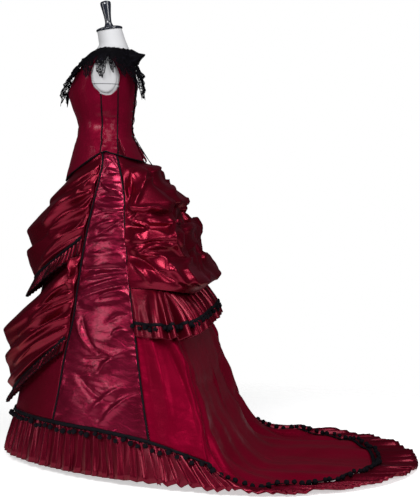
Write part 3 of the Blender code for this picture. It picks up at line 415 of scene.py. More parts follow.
def refine(grid, rows, cols, crisp=0.0):
    """The same surface with more rows and columns, on smooth curves through the given points.
    A crisp share keeps part of the straight lines between the rows."""
    def smooth(points, count, crisp=0.0):
        last = len(points) - 1
        t = np.linspace(0, last, count)
        i = np.clip(t.astype(int), 0, last - 1)
        f = (t - i)[:, None, None]
        p0, p1, p2, p3 = (points[np.clip(i + k, 0, last)] for k in (-1, 0, 1, 2))
        curve = 0.5 * (2 * p1 + (p2 - p0) * f + (2 * p0 - 5 * p1 + 4 * p2 - p3) * f**2
                       + (3 * p1 - p0 - 3 * p2 + p3) * f**3)
        return curve * (1 - crisp) + (p1 + (p2 - p1) * f) * crisp
    grid = smooth(np.asarray(grid, float), rows, crisp)
    return smooth(grid.transpose(1, 0, 2), cols).transpose(1, 0, 2)


def grid_out(points):
    """Outward direction at each point of a grid with rows downwards and columns towards larger angles."""
    return unit(np.cross(np.gradient(points, axis=0), np.gradient(points, axis=1)))


def ripple(a, b, length_a, length_b, seed):
    """Smooth random heights between -1 and 1 over a surface with coordinates a and b."""
    lattice = np.random.default_rng(seed).uniform(-1, 1, (97, 97))
    x, y = a / length_a + 40.3, b / length_b + 40.7
    i, j = np.floor(x).astype(int), np.floor(y).astype(int)
    f, g = x - i, y - j
    f, g = f * f * (3 - 2 * f), g * g * (3 - 2 * g)
    at = lambda p, q: lattice[(i + p) % 97, (j + q) % 97]
    return ((at(0, 0) * (1 - f) + at(1, 0) * f) * (1 - g) + (at(0, 1) * (1 - f) + at(1, 1) * f) * g)


def creases(a, b, length_a, length_b, seed):
    """Heights of crumpled cloth: soft swells with sharper ridges between them."""
    bend = ripple(a, b, length_a * 1.7, length_b * 1.7, seed + 50) * length_b * 0.6
    swell = ripple(a, b + bend, length_a, length_b, seed)
    ridge = 1 - 2.2 * np.abs(ripple(a + bend, b, length_a * 1.2, length_b * 0.9, seed + 100))
    return 0.6 * swell + 0.5 * np.maximum(ridge, -0.6)


def folds(a, b, table):
    """Heights of single folds over a surface with coordinates a and b. Each row of the table is
    from a, from b, to a, to b, bow, height, half width; the side towards +bow is the steep one."""
    height = np.zeros_like(a)
    for a0, b0, a1, b1, bow, rise, width in table:
        length = math.hypot(a1 - a0, b1 - b0)
        t = ((a - a0) * (a1 - a0) + (b - b0) * (b1 - b0)) / length**2
        near = np.clip(t, 0, 1)
        off = ((b - b0) * (a1 - a0) - (a - a0) * (b1 - b0)) / length - bow * 4 * near * (1 - near)
        past = (t - near) * length
        wide = np.where(off * (1 if bow >= 0 else -1) > 0, width * 0.55, width)
        taper = 0.25 + 0.75 * np.sin(math.pi * np.clip(near * 0.86 + 0.07, 0, 1))
        height += rise * taper * np.exp(-np.abs(off / wide)**1.35 - (past / (width * 1.3))**2)
    return height


def skins(name, points, wall, material, nodes):
    """A closed piece from a grid of points: an outer skin, an inner one a wall behind it, and its rims."""
    out = grid_out(points)
    rows, cols = points.shape[:2]
    across = np.linalg.norm(np.diff(points, axis=1), axis=2)
    down = np.linalg.norm(np.diff(points, axis=0), axis=2)
    u, v = np.zeros((rows, cols)), np.zeros((rows, cols))
    u[:, 1:] = np.cumsum(across, axis=1)
    u -= u[:, cols // 2][:, None]
    v[1:] = np.cumsum(down, axis=0)
    verts = np.concatenate([points.reshape(-1, 3), (points - out * wall).reshape(-1, 3)])
    index = np.arange(rows * cols).reshape(rows, cols)
    quads = np.stack([index[:-1, :-1], index[:-1, 1:], index[1:, 1:], index[1:, :-1]], -1).reshape(-1, 4)[:, ::-1]
    faces = [quads, quads[:, ::-1] + rows * cols]
    rims = [(index[0, :-1], index[0, 1:]), (index[:-1, -1], index[1:, -1]), (index[-1, 1:], index[-1, :-1]),
            (index[1:, 0], index[:-1, 0])]
    faces = np.concatenate(faces + [np.stack([a, b, b + rows * cols, a + rows * cols], -1) for a, b in rims])
    flat = np.stack([np.tile(u.ravel(), 2), np.tile(v.ravel(), 2)], 1)
    piece = mesh_piece(name, verts.tolist(), faces.tolist(), flat[faces.ravel()], material)
    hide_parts(*nodes)
    return piece


def cloth(name, points, wall, material, nodes):
    """A sheet of cloth from a grid of points."""
    piece = skins(name, points, wall, material, nodes)
    corner = np.cross(points[1:, :-1] - points[:-1, :-1], points[:-1, 1:] - points[:-1, :-1])
    other = np.cross(points[:-1, 1:] - points[1:, 1:], points[1:, :-1] - points[1:, 1:])
    return piece


def panel(shares, left, right, columns):
    """Points of a skirt panel with their angle and share, as five values each."""
    rows = []
    for v in shares:
        a, b = left(v), right(v)
        rows.append([[*skirt(a + (b - a) * t, v), a + (b - a) * t, v] for t in columns])
    return np.array(rows)


def mirrored(grid):
    """The same points on the wearer's right; the angle turns too."""
    grid = np.asarray(grid, float)[..., ::-1, :].copy()
    grid[..., 0] *= -1
    if grid.shape[-1] > 3:
        grid[..., 3] = 360.0 - grid[..., 3]
    return grid


# Front panel of the skirt, plain taffeta; the aprons cover it down to the last hand's breadth
ROW_SHARES = [0.0, 0.05, 0.10, 0.16, 0.23, 0.31, 0.42, 0.53, 0.65, 0.77, 0.89, BOTTOM]
front = panel(ROW_SHARES, lambda v: -front_seam(v) + beside(front_seam, skirt, v, PANEL_EDGE),
              lambda v: front_seam(v) - beside(front_seam, skirt, v, PANEL_EDGE), np.linspace(0, 1, 13))
front = refine(front, 90, 72)
xyz, out = front[..., :3], grid_out(front[..., :3])
low = smoothstep(0.7, 0.9, front[..., 4])
xyz = xyz + out * (low * creases(xyz[..., 0], xyz[..., 2], 0.10, 0.06, 11) * 0.0022)[..., None]
cloth("front_panel", xyz, TAFFETA_WALL, TAFFETA, ["skirt_front"])


# Side panels: smooth taffeta between two corded seams, puckered along the stitching and softly creased
# Puckers right across the panel: share of its height, half width as a share, height
PUCKERS = [(0.10, 0.03, 0.0035), (0.18, 0.025, -0.003), (0.27, 0.03, 0.004), (0.36, 0.03, -0.003),
           (0.44, 0.02, 0.005), (0.49, 0.02, -0.004), (0.54, 0.02, 0.005), (0.60, 0.03, -0.003),
           (0.70, 0.05, 0.004), (0.82, 0.04, -0.004), (0.92, 0.04, 0.004)]
# Single folds in y and z of the side view; the rows are explained at folds
SIDE_FOLDS = [
    (0.032, 0.980, 0.097, 0.961, 0.006, 0.0030, 0.010), (0.026, 0.941, 0.099, 0.916, -0.010, 0.0055, 0.012),
    (0.017, 0.896, 0.105, 0.887, 0.006, -0.0050, 0.010), (0.011, 0.863, 0.110, 0.856, -0.006, 0.0045, 0.009),
    (0.001, 0.831, 0.110, 0.849, 0.006, -0.0040, 0.008), (-0.001, 0.792, 0.057, 0.814, 0.000, 0.0045, 0.009),
    (0.030, 0.781, 0.113, 0.823, 0.003, -0.0040, 0.008), (-0.014, 0.750, 0.113, 0.768, 0.006, 0.0040, 0.012),
    (-0.028, 0.705, 0.116, 0.723, -0.003, 0.0030, 0.012), (-0.033, 0.656, 0.119, 0.671, 0.003, -0.0055, 0.006),
    (-0.032, 0.628, 0.129, 0.658, 0.006, 0.0050, 0.008), (-0.034, 0.589, 0.133, 0.643, 0.006, 0.0050, 0.007),
    (-0.033, 0.570, 0.137, 0.621, 0.006, -0.0045, 0.006), (0.024, 0.565, 0.125, 0.600, 0.010, 0.0040, 0.008),
    (-0.043, 0.531, 0.003, 0.532, 0.000, -0.0040, 0.004), (-0.013, 0.550, 0.136, 0.577, 0.000, 0.0030, 0.010),
    (-0.053, 0.502, 0.015, 0.407, -0.010, 0.0060, 0.010), (-0.026, 0.498, 0.030, 0.402, -0.010, -0.0055, 0.008),
    (0.070, 0.499, 0.138, 0.522, 0.010, -0.0040, 0.010), (0.085, 0.456, 0.137, 0.477, 0.010, 0.0045, 0.010),
    (-0.006, 0.377, 0.129, 0.394, 0.000, -0.0035, 0.006), (0.040, 0.341, 0.155, 0.418, 0.013, 0.0040, 0.014),
    (-0.025, 0.309, 0.114, 0.249, -0.016, -0.0050, 0.014), (0.067, 0.195, 0.180, 0.284, 0.010, 0.0070, 0.012),
    (0.023, 0.221, 0.139, 0.306, 0.010, 0.0040, 0.014),
]


def stitch_puckers(grid, out, depth, seed, pitch=0.012, reach=0.016):
    """Short dimples along the left and right edges of a panel, where the seam gathers the cloth."""
    lifted = np.zeros(grid.shape[:2])
    down = np.linalg.norm(np.diff(grid[..., :3], axis=0), axis=2)
    across = np.linalg.norm(np.diff(grid[..., :3], axis=1), axis=2)
    for column, inward in ((0, 1), (-1, -1)):
        from_edge = np.zeros(grid.shape[:2])
        from_edge[:, 1:] = np.cumsum(across[:, ::inward], axis=1)
        from_edge = from_edge[:, ::inward]
        run = np.concatenate([[0], np.cumsum(down[:, column])])[:, None] + 0 * from_edge
        wave = ripple(run, from_edge * 0.35, pitch, pitch, seed + column)
        far = reach * (1 + 0.9 * ripple(run, 0 * from_edge, 0.05, 1.0, seed + 7))
        lifted += depth * wave * np.exp(-(from_edge / far)**2) * np.minimum(1, from_edge / 0.003)
    return out * lifted[..., None]


side = panel(ROW_SHARES, lambda v: front_seam(v) + beside(front_seam, skirt, v, PANEL_EDGE),
             lambda v: back_seam(v) - beside(back_seam, skirt, v, PANEL_EDGE), np.linspace(0, 1, 9))
side = refine(side, 230, 60)
columns = np.linspace(0, 1, 60)[None, :]
# The sides' copy has a paler, pinker bright colour than the skirt's: painted highlight for the sheen the side panels
# catch
SIDE_TAFFETA = wine_taffeta("wine_taffeta_sides", (0.110, 0.0010, 0.011), (0.225, 0.0065, 0.036), 0.30, crush=0.55,
                            gloss=0.22, streaks=(7, 26), turn=-0.25)
for hand, sign, seed in (("left", 1, 21), ("right", -1, 37)):
    xyz, share = side[..., :3].copy(), side[..., 4]
    out = grid_out(xyz)
    inside = np.sin(math.pi * columns)**0.6 * smoothstep(0, 0.04, share) * smoothstep(1.0, 0.97, share)
    sway = 0.006 * ripple(columns + 0 * share, share, 0.4, 0.2, seed)
    height = sum(h * np.exp(-((share + sway * 2 - c) / w)**2) for c, w, h in PUCKERS)
    y, z = xyz[..., 1] + (0.012 if sign < 0 else 0), xyz[..., 2] + (0.008 if sign < 0 else 0)
    height = height * 0.7 + folds(y, z, SIDE_FOLDS) * 1.75
    height += creases(y, z, 0.060, 0.024, seed) * 0.0017 * (0.5 + 0.7 * smoothstep(0.62, 0.35, share))
    height += creases(y, z + 0.25 * y, 0.050, 0.0150, seed + 20) * 0.0015
    xyz = xyz + out * (inside * height)[..., None]
    xyz = xyz + stitch_puckers(xyz, out, 0.0026, seed, 0.010, 0.018)
    if sign < 0:
        xyz = mirrored(xyz)
    cloth(f"side_panel_{hand}", xyz, TAFFETA_WALL, SIDE_TAFFETA, [f"skirt_side_{hand}"])


# Train: two halves joined down the centre back, long soft folds fanning out from under the bustle
# Folds: degrees from the front, half width in degrees, height
TRAIN_FOLDS = [(77, 4.5, 0.011), (90, 5.5, 0.020), (104, 6, 0.012), (119, 7, 0.021), (135, 7, 0.014), (150, 7, 0.020),
               (165, 7, 0.015)]
TRAIN_COLUMNS = [0, 0.085, 0.13, 0.19, 0.25, 0.31, 0.37, 0.435, 0.50, 0.57, 0.64, 0.71, 0.785, 0.855, 0.93, 1.0]
TRAIN_OVER_FLOOR = 0.0045
# Ridges and troughs that sweep from under the flounce, in y and z of the side view
TRAIN_RIDGES = [(0.207, 0.480, 0.295, 0.202, 0.010, 0.0080, 0.016), (0.240, 0.480, 0.370, 0.186, 0.014, -0.0090, 0.018),
                (0.265, 0.480, 0.392, 0.198, 0.014, 0.0090, 0.014), (0.296, 0.470, 0.474, 0.110, 0.018, -0.0080, 0.016),
                (0.308, 0.460, 0.520, 0.110, 0.020, 0.0080, 0.012), (0.188, 0.440, 0.221, 0.269, 0.004, -0.0060, 0.012),
                (0.331, 0.356, 0.413, 0.167, 0.012, -0.0100, 0.012), (0.394, 0.260, 0.520, 0.120, 0.010, 0.0070, 0.010)]


def train_fold(angle, share):
    """Height of the train's long folds."""
    rise = smoothstep(0.45, 1.0, share) * smoothstep(69, 77, from_front(angle))
    return rise * sum(h * np.exp(-((from_front(angle) - c) / w)**2) for c, w, h in TRAIN_FOLDS)


def centre_edge(v):
    """Angle of the left half's edge at the centre back."""
    return 180.0 - 2 * (SEAM_GAP / 2) / (np.linalg.norm(skirt(181.0, v) - skirt(179.0, v)) + 1e-9)


train = panel(ROW_SHARES, lambda v: back_seam(v) + beside(back_seam, skirt, v, PANEL_EDGE), centre_edge, TRAIN_COLUMNS)
train = refine(train, 110, 150)
# The train's copy is darker than the skirt's: painted shade
TRAIN_TAFFETA = wine_taffeta("wine_taffeta_train", (0.095, 0.0004, 0.007), (0.185, 0.0010, 0.017), 0.34, 0.28, 0.3, 0.0,
                             (10, 16), 0.5, 0.0)
for hand, sign, seed in (("left", 1, 51), ("right", -1, 67)):
    xyz, angle, share = train[..., :3], train[..., 3], train[..., 4]
    out = grid_out(xyz)
    columns = np.linspace(0, 1, 150)[None, :]
    inside = smoothstep(0, 0.05, columns) * smoothstep(1.0, 0.97, columns) * smoothstep(1.0, 0.975, share)
    wander = 2.2 * ripple(share, angle, 0.30, 22, seed)
    height = train_fold(angle + wander * inside, share)
    deep = smoothstep(0.42, 0.62, share)
    minor = ripple(angle + 6 * share, share, 15.0, 0.60, seed + 3) * 0.0110
    minor = minor + 1.7 * folds(xyz[..., 1], xyz[..., 2], TRAIN_RIDGES)
    arc = (angle - 70) / 57.3 * np.hypot(xyz[..., 0], xyz[..., 1] - 0.25)
    minor = minor + creases(arc, share * 1.1, 0.09, 0.05, seed + 9) * 0.0022
    xyz = xyz + out * (height + minor * deep * inside)[..., None]
    xyz = xyz + stitch_puckers(xyz, out, 0.0020, seed, 0.012, 0.014)
    xyz[..., 2] = np.maximum(xyz[..., 2], TRAIN_OVER_FLOOR)
    if sign < 0:
        xyz = mirrored(xyz)
    cloth(f"train_{hand}", xyz, TAFFETA_WALL, TRAIN_TAFFETA, [f"skirt_train_{hand}"])

# Corded seams: black cord let in between the panels, round, with the twist of its thread
CORD_BLACK = black_thread("seam_cord", 700, 0.50)


def seam_cord(name, points, radius, node, count=160):
    """A corded seam on a smooth curve through its points."""
    points = np.asarray(points, float)[:, None]
    cord = tube(name, refine(np.concatenate([points, points], 1), count, 2)[:, 0], radius, CORD_BLACK)
    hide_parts(node)


SKIRT_CORD = 0.0031
for hand, sign in HANDS:
    for part, edge, first in (("front", front_seam, 0.0), ("back", back_seam, 0.012)):
        line = [skirt(edge(v), v) + skirt_out(edge(v), v) * 0.0005 for v in [first] + ROW_SHARES[1:]]
        seam_cord(f"skirt_cord_{part}_{hand}", np.array(line) * (sign, 1, 1), SKIRT_CORD, f"skirt_piping_{part}_{hand}")


# Hem flounce: narrow knife pleats all round, sewn under the pompom braid and pressed to a crisp edge
PLEAT_PITCH = 0.0290
PLEAT_WALL = 0.0009
HEM_OVER_FLOOR = 0.0022
PLEAT_STEPS = np.array([0, 0.14, 0.28, 0.42, 0.54, 0.62, 0.68, 0.76, 0.86, 0.94])     # points across one pleat
# The hem's copy is darker than the skirt's, its deep colour much darker: painted shade on the pleated flounce
HEM_TAFFETA = wine_taffeta("wine_taffeta_hem", (0.040, 0.0004, 0.004), (0.160, 0.0022, 0.016), 0.30, 0.70, 0.3)


def knife(x, over=0.62):
    """Height of knife pleats, 0 to 1, over a position counted in pleats: a slow rise and a sharp drop."""
    x = x - np.floor(x)
    return np.where(x < over, (x / over)**0.8, np.clip((1 - x) / (1 - over), 0, 1)**1.6)


def pleat_positions(length, pitch, seed):
    """Pleat edges spaced a little unevenly along a line."""
    count = max(2, round(length / pitch))
    gaps = 1 + 0.42 * np.random.default_rng(seed).uniform(-1, 1, count)
    return np.concatenate([[0], np.cumsum(gaps / gaps.sum() * length)])


def strip(top, low, top_out, low_out, pitch, rise_top, rise_low, seed, rows):
    """Grid of a knife-pleated strip between an upper and a lower line of points."""
    run = lengths(top)
    edges = pleat_positions(run[-1], pitch, seed)
    x = (np.arange(len(edges) - 1)[:, None] + PLEAT_STEPS[None]).ravel()
    x = np.append(x, len(edges) - 1.0)
    place = np.interp(x, np.arange(len(edges)), edges)
    rng = np.random.default_rng(seed + 1)
    lean = np.interp(x, np.arange(len(edges)), rng.uniform(-0.35, 0.35, len(edges))) * pitch
    loft = np.interp(x, np.arange(len(edges)), rng.uniform(0.75, 1.25, len(edges)))
    crest = knife(x)
    grid = []
    for r in range(rows):
        t = r / (rows - 1)
        shift = np.clip(place + lean * t * t, 0, run[-1])
        a, b, a_out, b_out = (sampled(line, run, shift) for line in (top, low, top_out, low_out))
        lift = (rise_top + (rise_low - rise_top) * t**0.7) * crest * loft
        grid.append(a * (1 - t) + b * t + unit(a_out * (1 - t) + b_out * t) * lift[:, None])
    return np.array(grid)


def hem_lines(angles):
    """Top and bottom of the hem flounce at some angles, each with its outward directions."""
    lines = []
    for a in angles:
        over, under, fold = skirt_out(a, BOTTOM), skirt_out(a, hem_share(a) - 0.01), train_fold(a, 1.0)
        lines.append((skirt(a, 1.0) + over * fold, skirt(a, hem_share(a)) + under * fold * 0.85, over, under))
    return np.array(lines).transpose(1, 0, 2)


def hem_strip(part, first, last, seed):
    """Pleated strip under the panels from one angle to another."""
    top, low, top_out, low_out = hem_lines(np.linspace(first, last, max(9, int(abs(last - first) / 1.5))))
    top = top - unit(low - top) * 0.0040 - top_out * 0.0058
    grid = strip(top, low, top_out, low_out, PLEAT_PITCH, 0.0036, 0.0110, seed, 9)
    ends = np.minimum(np.arange(grid.shape[1]), np.arange(grid.shape[1])[::-1])
    lift = ripple(grid[..., 0] + grid[..., 1], grid[..., 2], 0.03, 0.06, seed) * 0.0040 * np.minimum(1, ends / 8)
    grid = grid + grid_out(grid) * lift[..., None] * np.linspace(0, 1, 9)[:, None, None]
    grid[..., 2] = np.maximum(grid[..., 2], HEM_OVER_FLOOR)
    cloth("hem_pleats_" + part, grid, PLEAT_WALL, HEM_TAFFETA, ["hem_flounce_" + part])


HEM_F, HEM_B = front_seam(BOTTOM), back_seam(BOTTOM)
for part, first, last, seed in (("front", -HEM_F, HEM_F, 71), ("left", HEM_F, HEM_B, 72),
                                ("right", 360 - HEM_B, 360 - HEM_F, 73), ("train_left", HEM_B, 180, 74),
                                ("train_right", 180, 360 - HEM_B, 75)):
    hem_strip(part, first - 0.5, last + 0.5, seed)


# Pompom braid: a flat black braid with small furry balls hanging from its lower edge
BRAID = black_thread("pompom_braid", 420)
BALL_TUFTS, BALL_DENTS = 0.62, 0.18      # spread of a ball's tufts and depth of the dents between them, in its widths


def fuzzy_balls():
    """Node tree that puts a tufted ball at every point of a mesh, each turned and sized a little differently."""
    tree = bpy.data.node_groups.new("fuzzy_balls", "GeometryNodeTree")
    for name, direction, kind in (("Geometry", "INPUT", "Geometry"), ("Size", "INPUT", "Float"),
                                  ("Seed", "INPUT", "Int"), ("Geometry", "OUTPUT", "Geometry")):
        tree.interface.new_socket(name, in_out=direction, socket_type="NodeSocket" + kind)
    nodes = Nodes(tree)
    points, size, seed = (Value(tree, socket) for socket in list(tree.nodes.new("NodeGroupInput").outputs)[:3])
    tuft = nodes.node("ShaderNodeTexNoise", Scale=9.0, Detail=1.0) * BALL_TUFTS - BALL_DENTS
    push = nodes.node("ShaderNodeVectorMath", {"operation": "SCALE"}, i0=nodes.node("GeometryNodeInputNormal"),
                      Scale=tuft)
    ball = nodes.node("GeometryNodeMeshIcoSphere", Radius=0.5, Subdivisions=2)
    ball = nodes.node("GeometryNodeSetPosition", Geometry=ball, Offset=push)
    turn = nodes.node("FunctionNodeRandomValue", {"data_type": "FLOAT_VECTOR"}, Max=(6.28, 6.28, 6.28), Seed=seed)
    grow = nodes.node("FunctionNodeRandomValue", {"data_type": "FLOAT"}, out=1, i2=0.86, i3=1.14, Seed=seed)
    placed = nodes.node("GeometryNodeInstanceOnPoints", Points=points, Instance=ball, Rotation=turn, Scale=grow * size)
    real = nodes.node("GeometryNodeRealizeInstances", i0=placed)
    tree.links.new(real.socket, tree.nodes.new("NodeGroupOutput").inputs[0])
    return tree


FUZZ = fuzzy_balls()
POMPOM_BLACK = black_thread("pompom_yarn", 1500, 0.85)


def balls(name, places, size, seed):
    """A joined mesh of tufted balls at a list of places."""
    mesh = bpy.data.meshes.new(name + "_places")
    mesh.from_pydata([tuple(p) for p in places], [], [])
    holder = linked(name + "_places", mesh)
    modifier = holder.modifiers.new("balls", "NODES")
    modifier.node_group = FUZZ
    sockets = {item.name: item.identifier for item in FUZZ.interface.items_tree if item.in_out == "INPUT"}
    modifier[sockets["Size"]], modifier[sockets["Seed"]] = size, seed
    real = bpy.data.meshes.new_from_object(holder.evaluated_get(bpy.context.evaluated_depsgraph_get()))
    holder.modifiers.remove(modifier)
    bpy.data.objects.remove(holder)
    bpy.data.meshes.remove(mesh)
    real.name = name
    real.materials.clear()
    real.materials.append(POMPOM_BLACK)
    piece = linked(name, real)
    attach(piece, "root")


def band(name, at, out, down, width, thick, lift, node, scallop):
    """A flat trim along a line: slightly crowned, its lower edge scalloped."""
    wave = scallop * np.abs(np.sin(lengths(at) / 0.0135 * math.pi))[:, None]
    rows = [at + down * (width / 2 * t + wave * (t == 1)) + out * (lift + thick - thick * 0.45 * t * t)
            for t in np.linspace(-1, 1, 5)]
    skins(name, np.array(rows), thick, BRAID, [node])


def spaced(line, *others, step):
    """A line of points resampled at even steps, and other rows of values along it."""
    run = lengths(line)
    marks = np.linspace(0, run[-1], max(3, int(round(run[-1] / step)) + 1))
    return [sampled(rows, run, marks) for rows in (line, *others)]


def scattered(at, out, down, drop, spread, stand, rng):
    """Places for pompoms that hang a little unevenly below a line."""
    return at + down * (drop + spread * rng.uniform(-1, 1, (len(at), 1))) + out * stand


edges = [0, HEM_F, HEM_B, 360 - HEM_B, 360 - HEM_F]
hem_angles = np.concatenate([np.linspace(a, b, count)[:-1]
                             for a, b, count in zip(edges, edges[1:] + [360], (30, 24, 220, 24, 30))] + [[360]])
hem_at, hem_low, hem_out, _ = hem_lines(hem_angles)
hem_down = unit(hem_low - hem_at)
hem_out = unit(hem_out - hem_down * np.sum(hem_out * hem_down, axis=1, keepdims=True))
at, down, out = spaced(hem_at + hem_down * 0.0030, hem_down, hem_out, step=0.0045)
band("hem_braid", at, out, down, 0.0110, 0.0018, 0.0030, "hem_pompom_trim", 0.0022)
at, down, out = spaced(hem_at + hem_down * 0.0060, hem_down, hem_out, step=0.0265)
rng = np.random.default_rng(5)
places = scattered(at, out, down, 0.0150, 0.0050, 0.0100, rng)
places += np.cross(out, down) * 0.0070 * rng.uniform(-1, 1, (len(at), 1))
balls("hem_pompoms", places[:-1], 0.0130, 6)

# Aprons: two layers of swagged taffeta from side seam to side seam, their folds fanning out of the seams
# Rows from the top: share down the skirt and stand off it, at the centre front and then at the side seams
UPPER_APRON = [(0.115, 0.0032, 0.060, 0.0032), (0.170, 0.0040, 0.085, 0.0036), (0.235, 0.048, 0.115, 0.013),
               (0.262, 0.047, 0.140, 0.0050), (0.300, 0.078, 0.172, 0.014), (0.350, 0.106, 0.208, 0.0060),
               (0.410, 0.074, 0.243, 0.015), (0.424, 0.090, 0.275, 0.0060), (0.475, 0.066, 0.320, 0.013),
               (0.538, 0.028, 0.366, 0.0050)]
LOWER_APRON = [(0.550, 0.0036, 0.374, 0.0032), (0.602, 0.012, 0.428, 0.0036), (0.655, 0.060, 0.452, 0.014),
               (0.715, 0.106, 0.482, 0.0060), (0.790, 0.066, 0.525, 0.014), (0.818, 0.080, 0.570, 0.0060),
               (0.888, 0.042, 0.625, 0.013), (0.915, 0.048, 0.675, 0.0060), (0.945, 0.014, 0.715, 0.0045)]
# Folds of the left half in y and z of the side view
UPPER_FOLDS = [
    (0.019, 0.986, -0.050, 0.914, 0.016, 0.0090, 0.012), (-0.003, 0.912, -0.173, 0.810, -0.010, 0.0130, 0.011),
    (-0.016, 0.883, -0.118, 0.809, 0.000, -0.0060, 0.008), (-0.012, 0.860, -0.154, 0.774, -0.013, 0.0130, 0.010),
    (-0.020, 0.800, -0.180, 0.693, -0.010, 0.0110, 0.010), (-0.040, 0.760, -0.231, 0.629, -0.010, 0.0100, 0.011),
    (-0.083, 0.894, -0.153, 0.850, 0.000, 0.0060, 0.010), (-0.030, 0.830, -0.110, 0.763, 0.006, -0.0060, 0.008),
    (-0.095, 0.712, -0.244, 0.581, -0.010, 0.0080, 0.010)]
LOWER_FOLDS = [
    (-0.045, 0.698, -0.070, 0.613, -0.006, 0.0180, 0.010), (-0.047, 0.617, -0.170, 0.546, -0.010, 0.0110, 0.009),
    (-0.050, 0.588, -0.218, 0.489, -0.010, 0.0110, 0.010), (-0.060, 0.555, -0.264, 0.433, -0.010, 0.0120, 0.012),
    (-0.070, 0.505, -0.269, 0.393, -0.010, 0.0120, 0.011), (-0.075, 0.470, -0.294, 0.329, -0.010, 0.0120, 0.013),
    (-0.090, 0.430, -0.308, 0.264, -0.010, 0.0110, 0.013), (-0.096, 0.596, -0.186, 0.518, 0.000, -0.0060, 0.009),
    (-0.071, 0.530, -0.210, 0.450, 0.000, -0.0060, 0.009)]
APRON_COLUMNS = [-1, -0.93, -0.82, -0.70, -0.57, -0.44, -0.31, -0.19, -0.08, 0.08, 0.19, 0.31, 0.44, 0.57, 0.70, 0.82,
                 0.93, 1]
# The aprons' copy is darker than the skirt's: painted shade
APRON_TAFFETA = wine_taffeta("wine_taffeta_aprons", (0.085, 0.0006, 0.006), (0.190, 0.0035, 0.020), 0.29, crush=0.15)


def swag(u, v_front, d_front, v_side, d_side):
    """Share and stand of a swag's row at a column: 0 is the front, 1 and -1 are the side seams."""
    k = abs(u)
    return v_front + (v_side - v_front) * k**1.45, d_front + (d_side - d_front) * (1 - (1 - k**1.5)**1.2)


def other_side(table, bow, rise, width):
    """The same folds for the hidden side, a little different in bow, height and width."""
    return [(*row[:4], row[4] * bow, row[5] * rise, row[6] * width) for row in table]


def apron(rows):
    """Swag surface with the column and the row of each point as a fourth and fifth value."""
    points = []
    for r, row in enumerate(rows):
        points.append([])
        for u in APRON_COLUMNS:
            v, stand = swag(u, *row)
            edge = front_seam(v) - beside(front_seam, skirt, v, PANEL_EDGE + 0.0006)
            points[-1].append([*(skirt(u * edge, v) + skirt_out(u * edge, v, True) * stand), u, r / (len(rows) - 1)])
    return np.array(points)


def draped(grid, table, seed):
    """An apron refined, with its folds on both sides and soft creases all over."""
    grid = refine(grid, 110, 180, 0.5)
    xyz, u, w = grid[..., :3], grid[..., 3], grid[..., 4]
    out = grid_out(xyz)
    inside = smoothstep(1.0, 0.95, np.abs(u)) * smoothstep(0.0, 0.06, w) * smoothstep(1.0, 0.93, w)
    hand = smoothstep(-0.04, 0.04, xyz[..., 0])
    left = folds(xyz[..., 1], xyz[..., 2], table)
    right = folds(xyz[..., 1] + 0.010, xyz[..., 2] - 0.014, other_side(table, 0.7, 0.95, 1.1))
    height = (left * hand + right * (1 - hand)) * smoothstep(0.02, 0.12, np.abs(xyz[..., 0]))
    turn, fall = np.arctan2(xyz[..., 0], -xyz[..., 1]) * 0.25, xyz[..., 2] - 0.62 * xyz[..., 1]
    height = height * 1.9 + creases(turn, fall, 0.150, 0.040, seed) * 0.00396
    height += creases(turn, fall, 0.060, 0.018, seed + 5) * 0.00063
    return xyz + out * (inside * height)[..., None]


for name, rows, table, seed in (("upper", UPPER_APRON, UPPER_FOLDS, 81), ("lower", LOWER_APRON, LOWER_FOLDS, 83)):
    xyz = draped(apron(rows), table, seed)
    cloth(f"{name}_apron", xyz, TAFFETA_WALL, APRON_TAFFETA, [f"apron_{name}"])

# Apron ruffles: narrow knife pleats with black-bound folds, and a gathered black braid over their sewn edge
BINDING = 0.0011      # radius of the black binding on the ruffles' folds
# The ruffles' copy, also used for the flounce under the bustle, is much darker than the skirt's: painted shade under
# the aprons and the bustle
RUFFLE_TAFFETA = wine_taffeta("wine_taffeta_ruffles", (0.050, 0.0005, 0.004), (0.160, 0.0025, 0.016), 0.34, 0.70, 0.3)


def line_cords(name, lines, radius, material, sides=4):
    """Thin cords along many lines of points, joined in one piece."""
    verts, faces = [], []
    for points in lines:
        faces += ring_faces(len(points), sides, len(verts))
        verts += ring_line(np.asarray(points), radius, sides).reshape(-1, 3).tolist()
    mesh_piece(name, verts, faces, None, material)


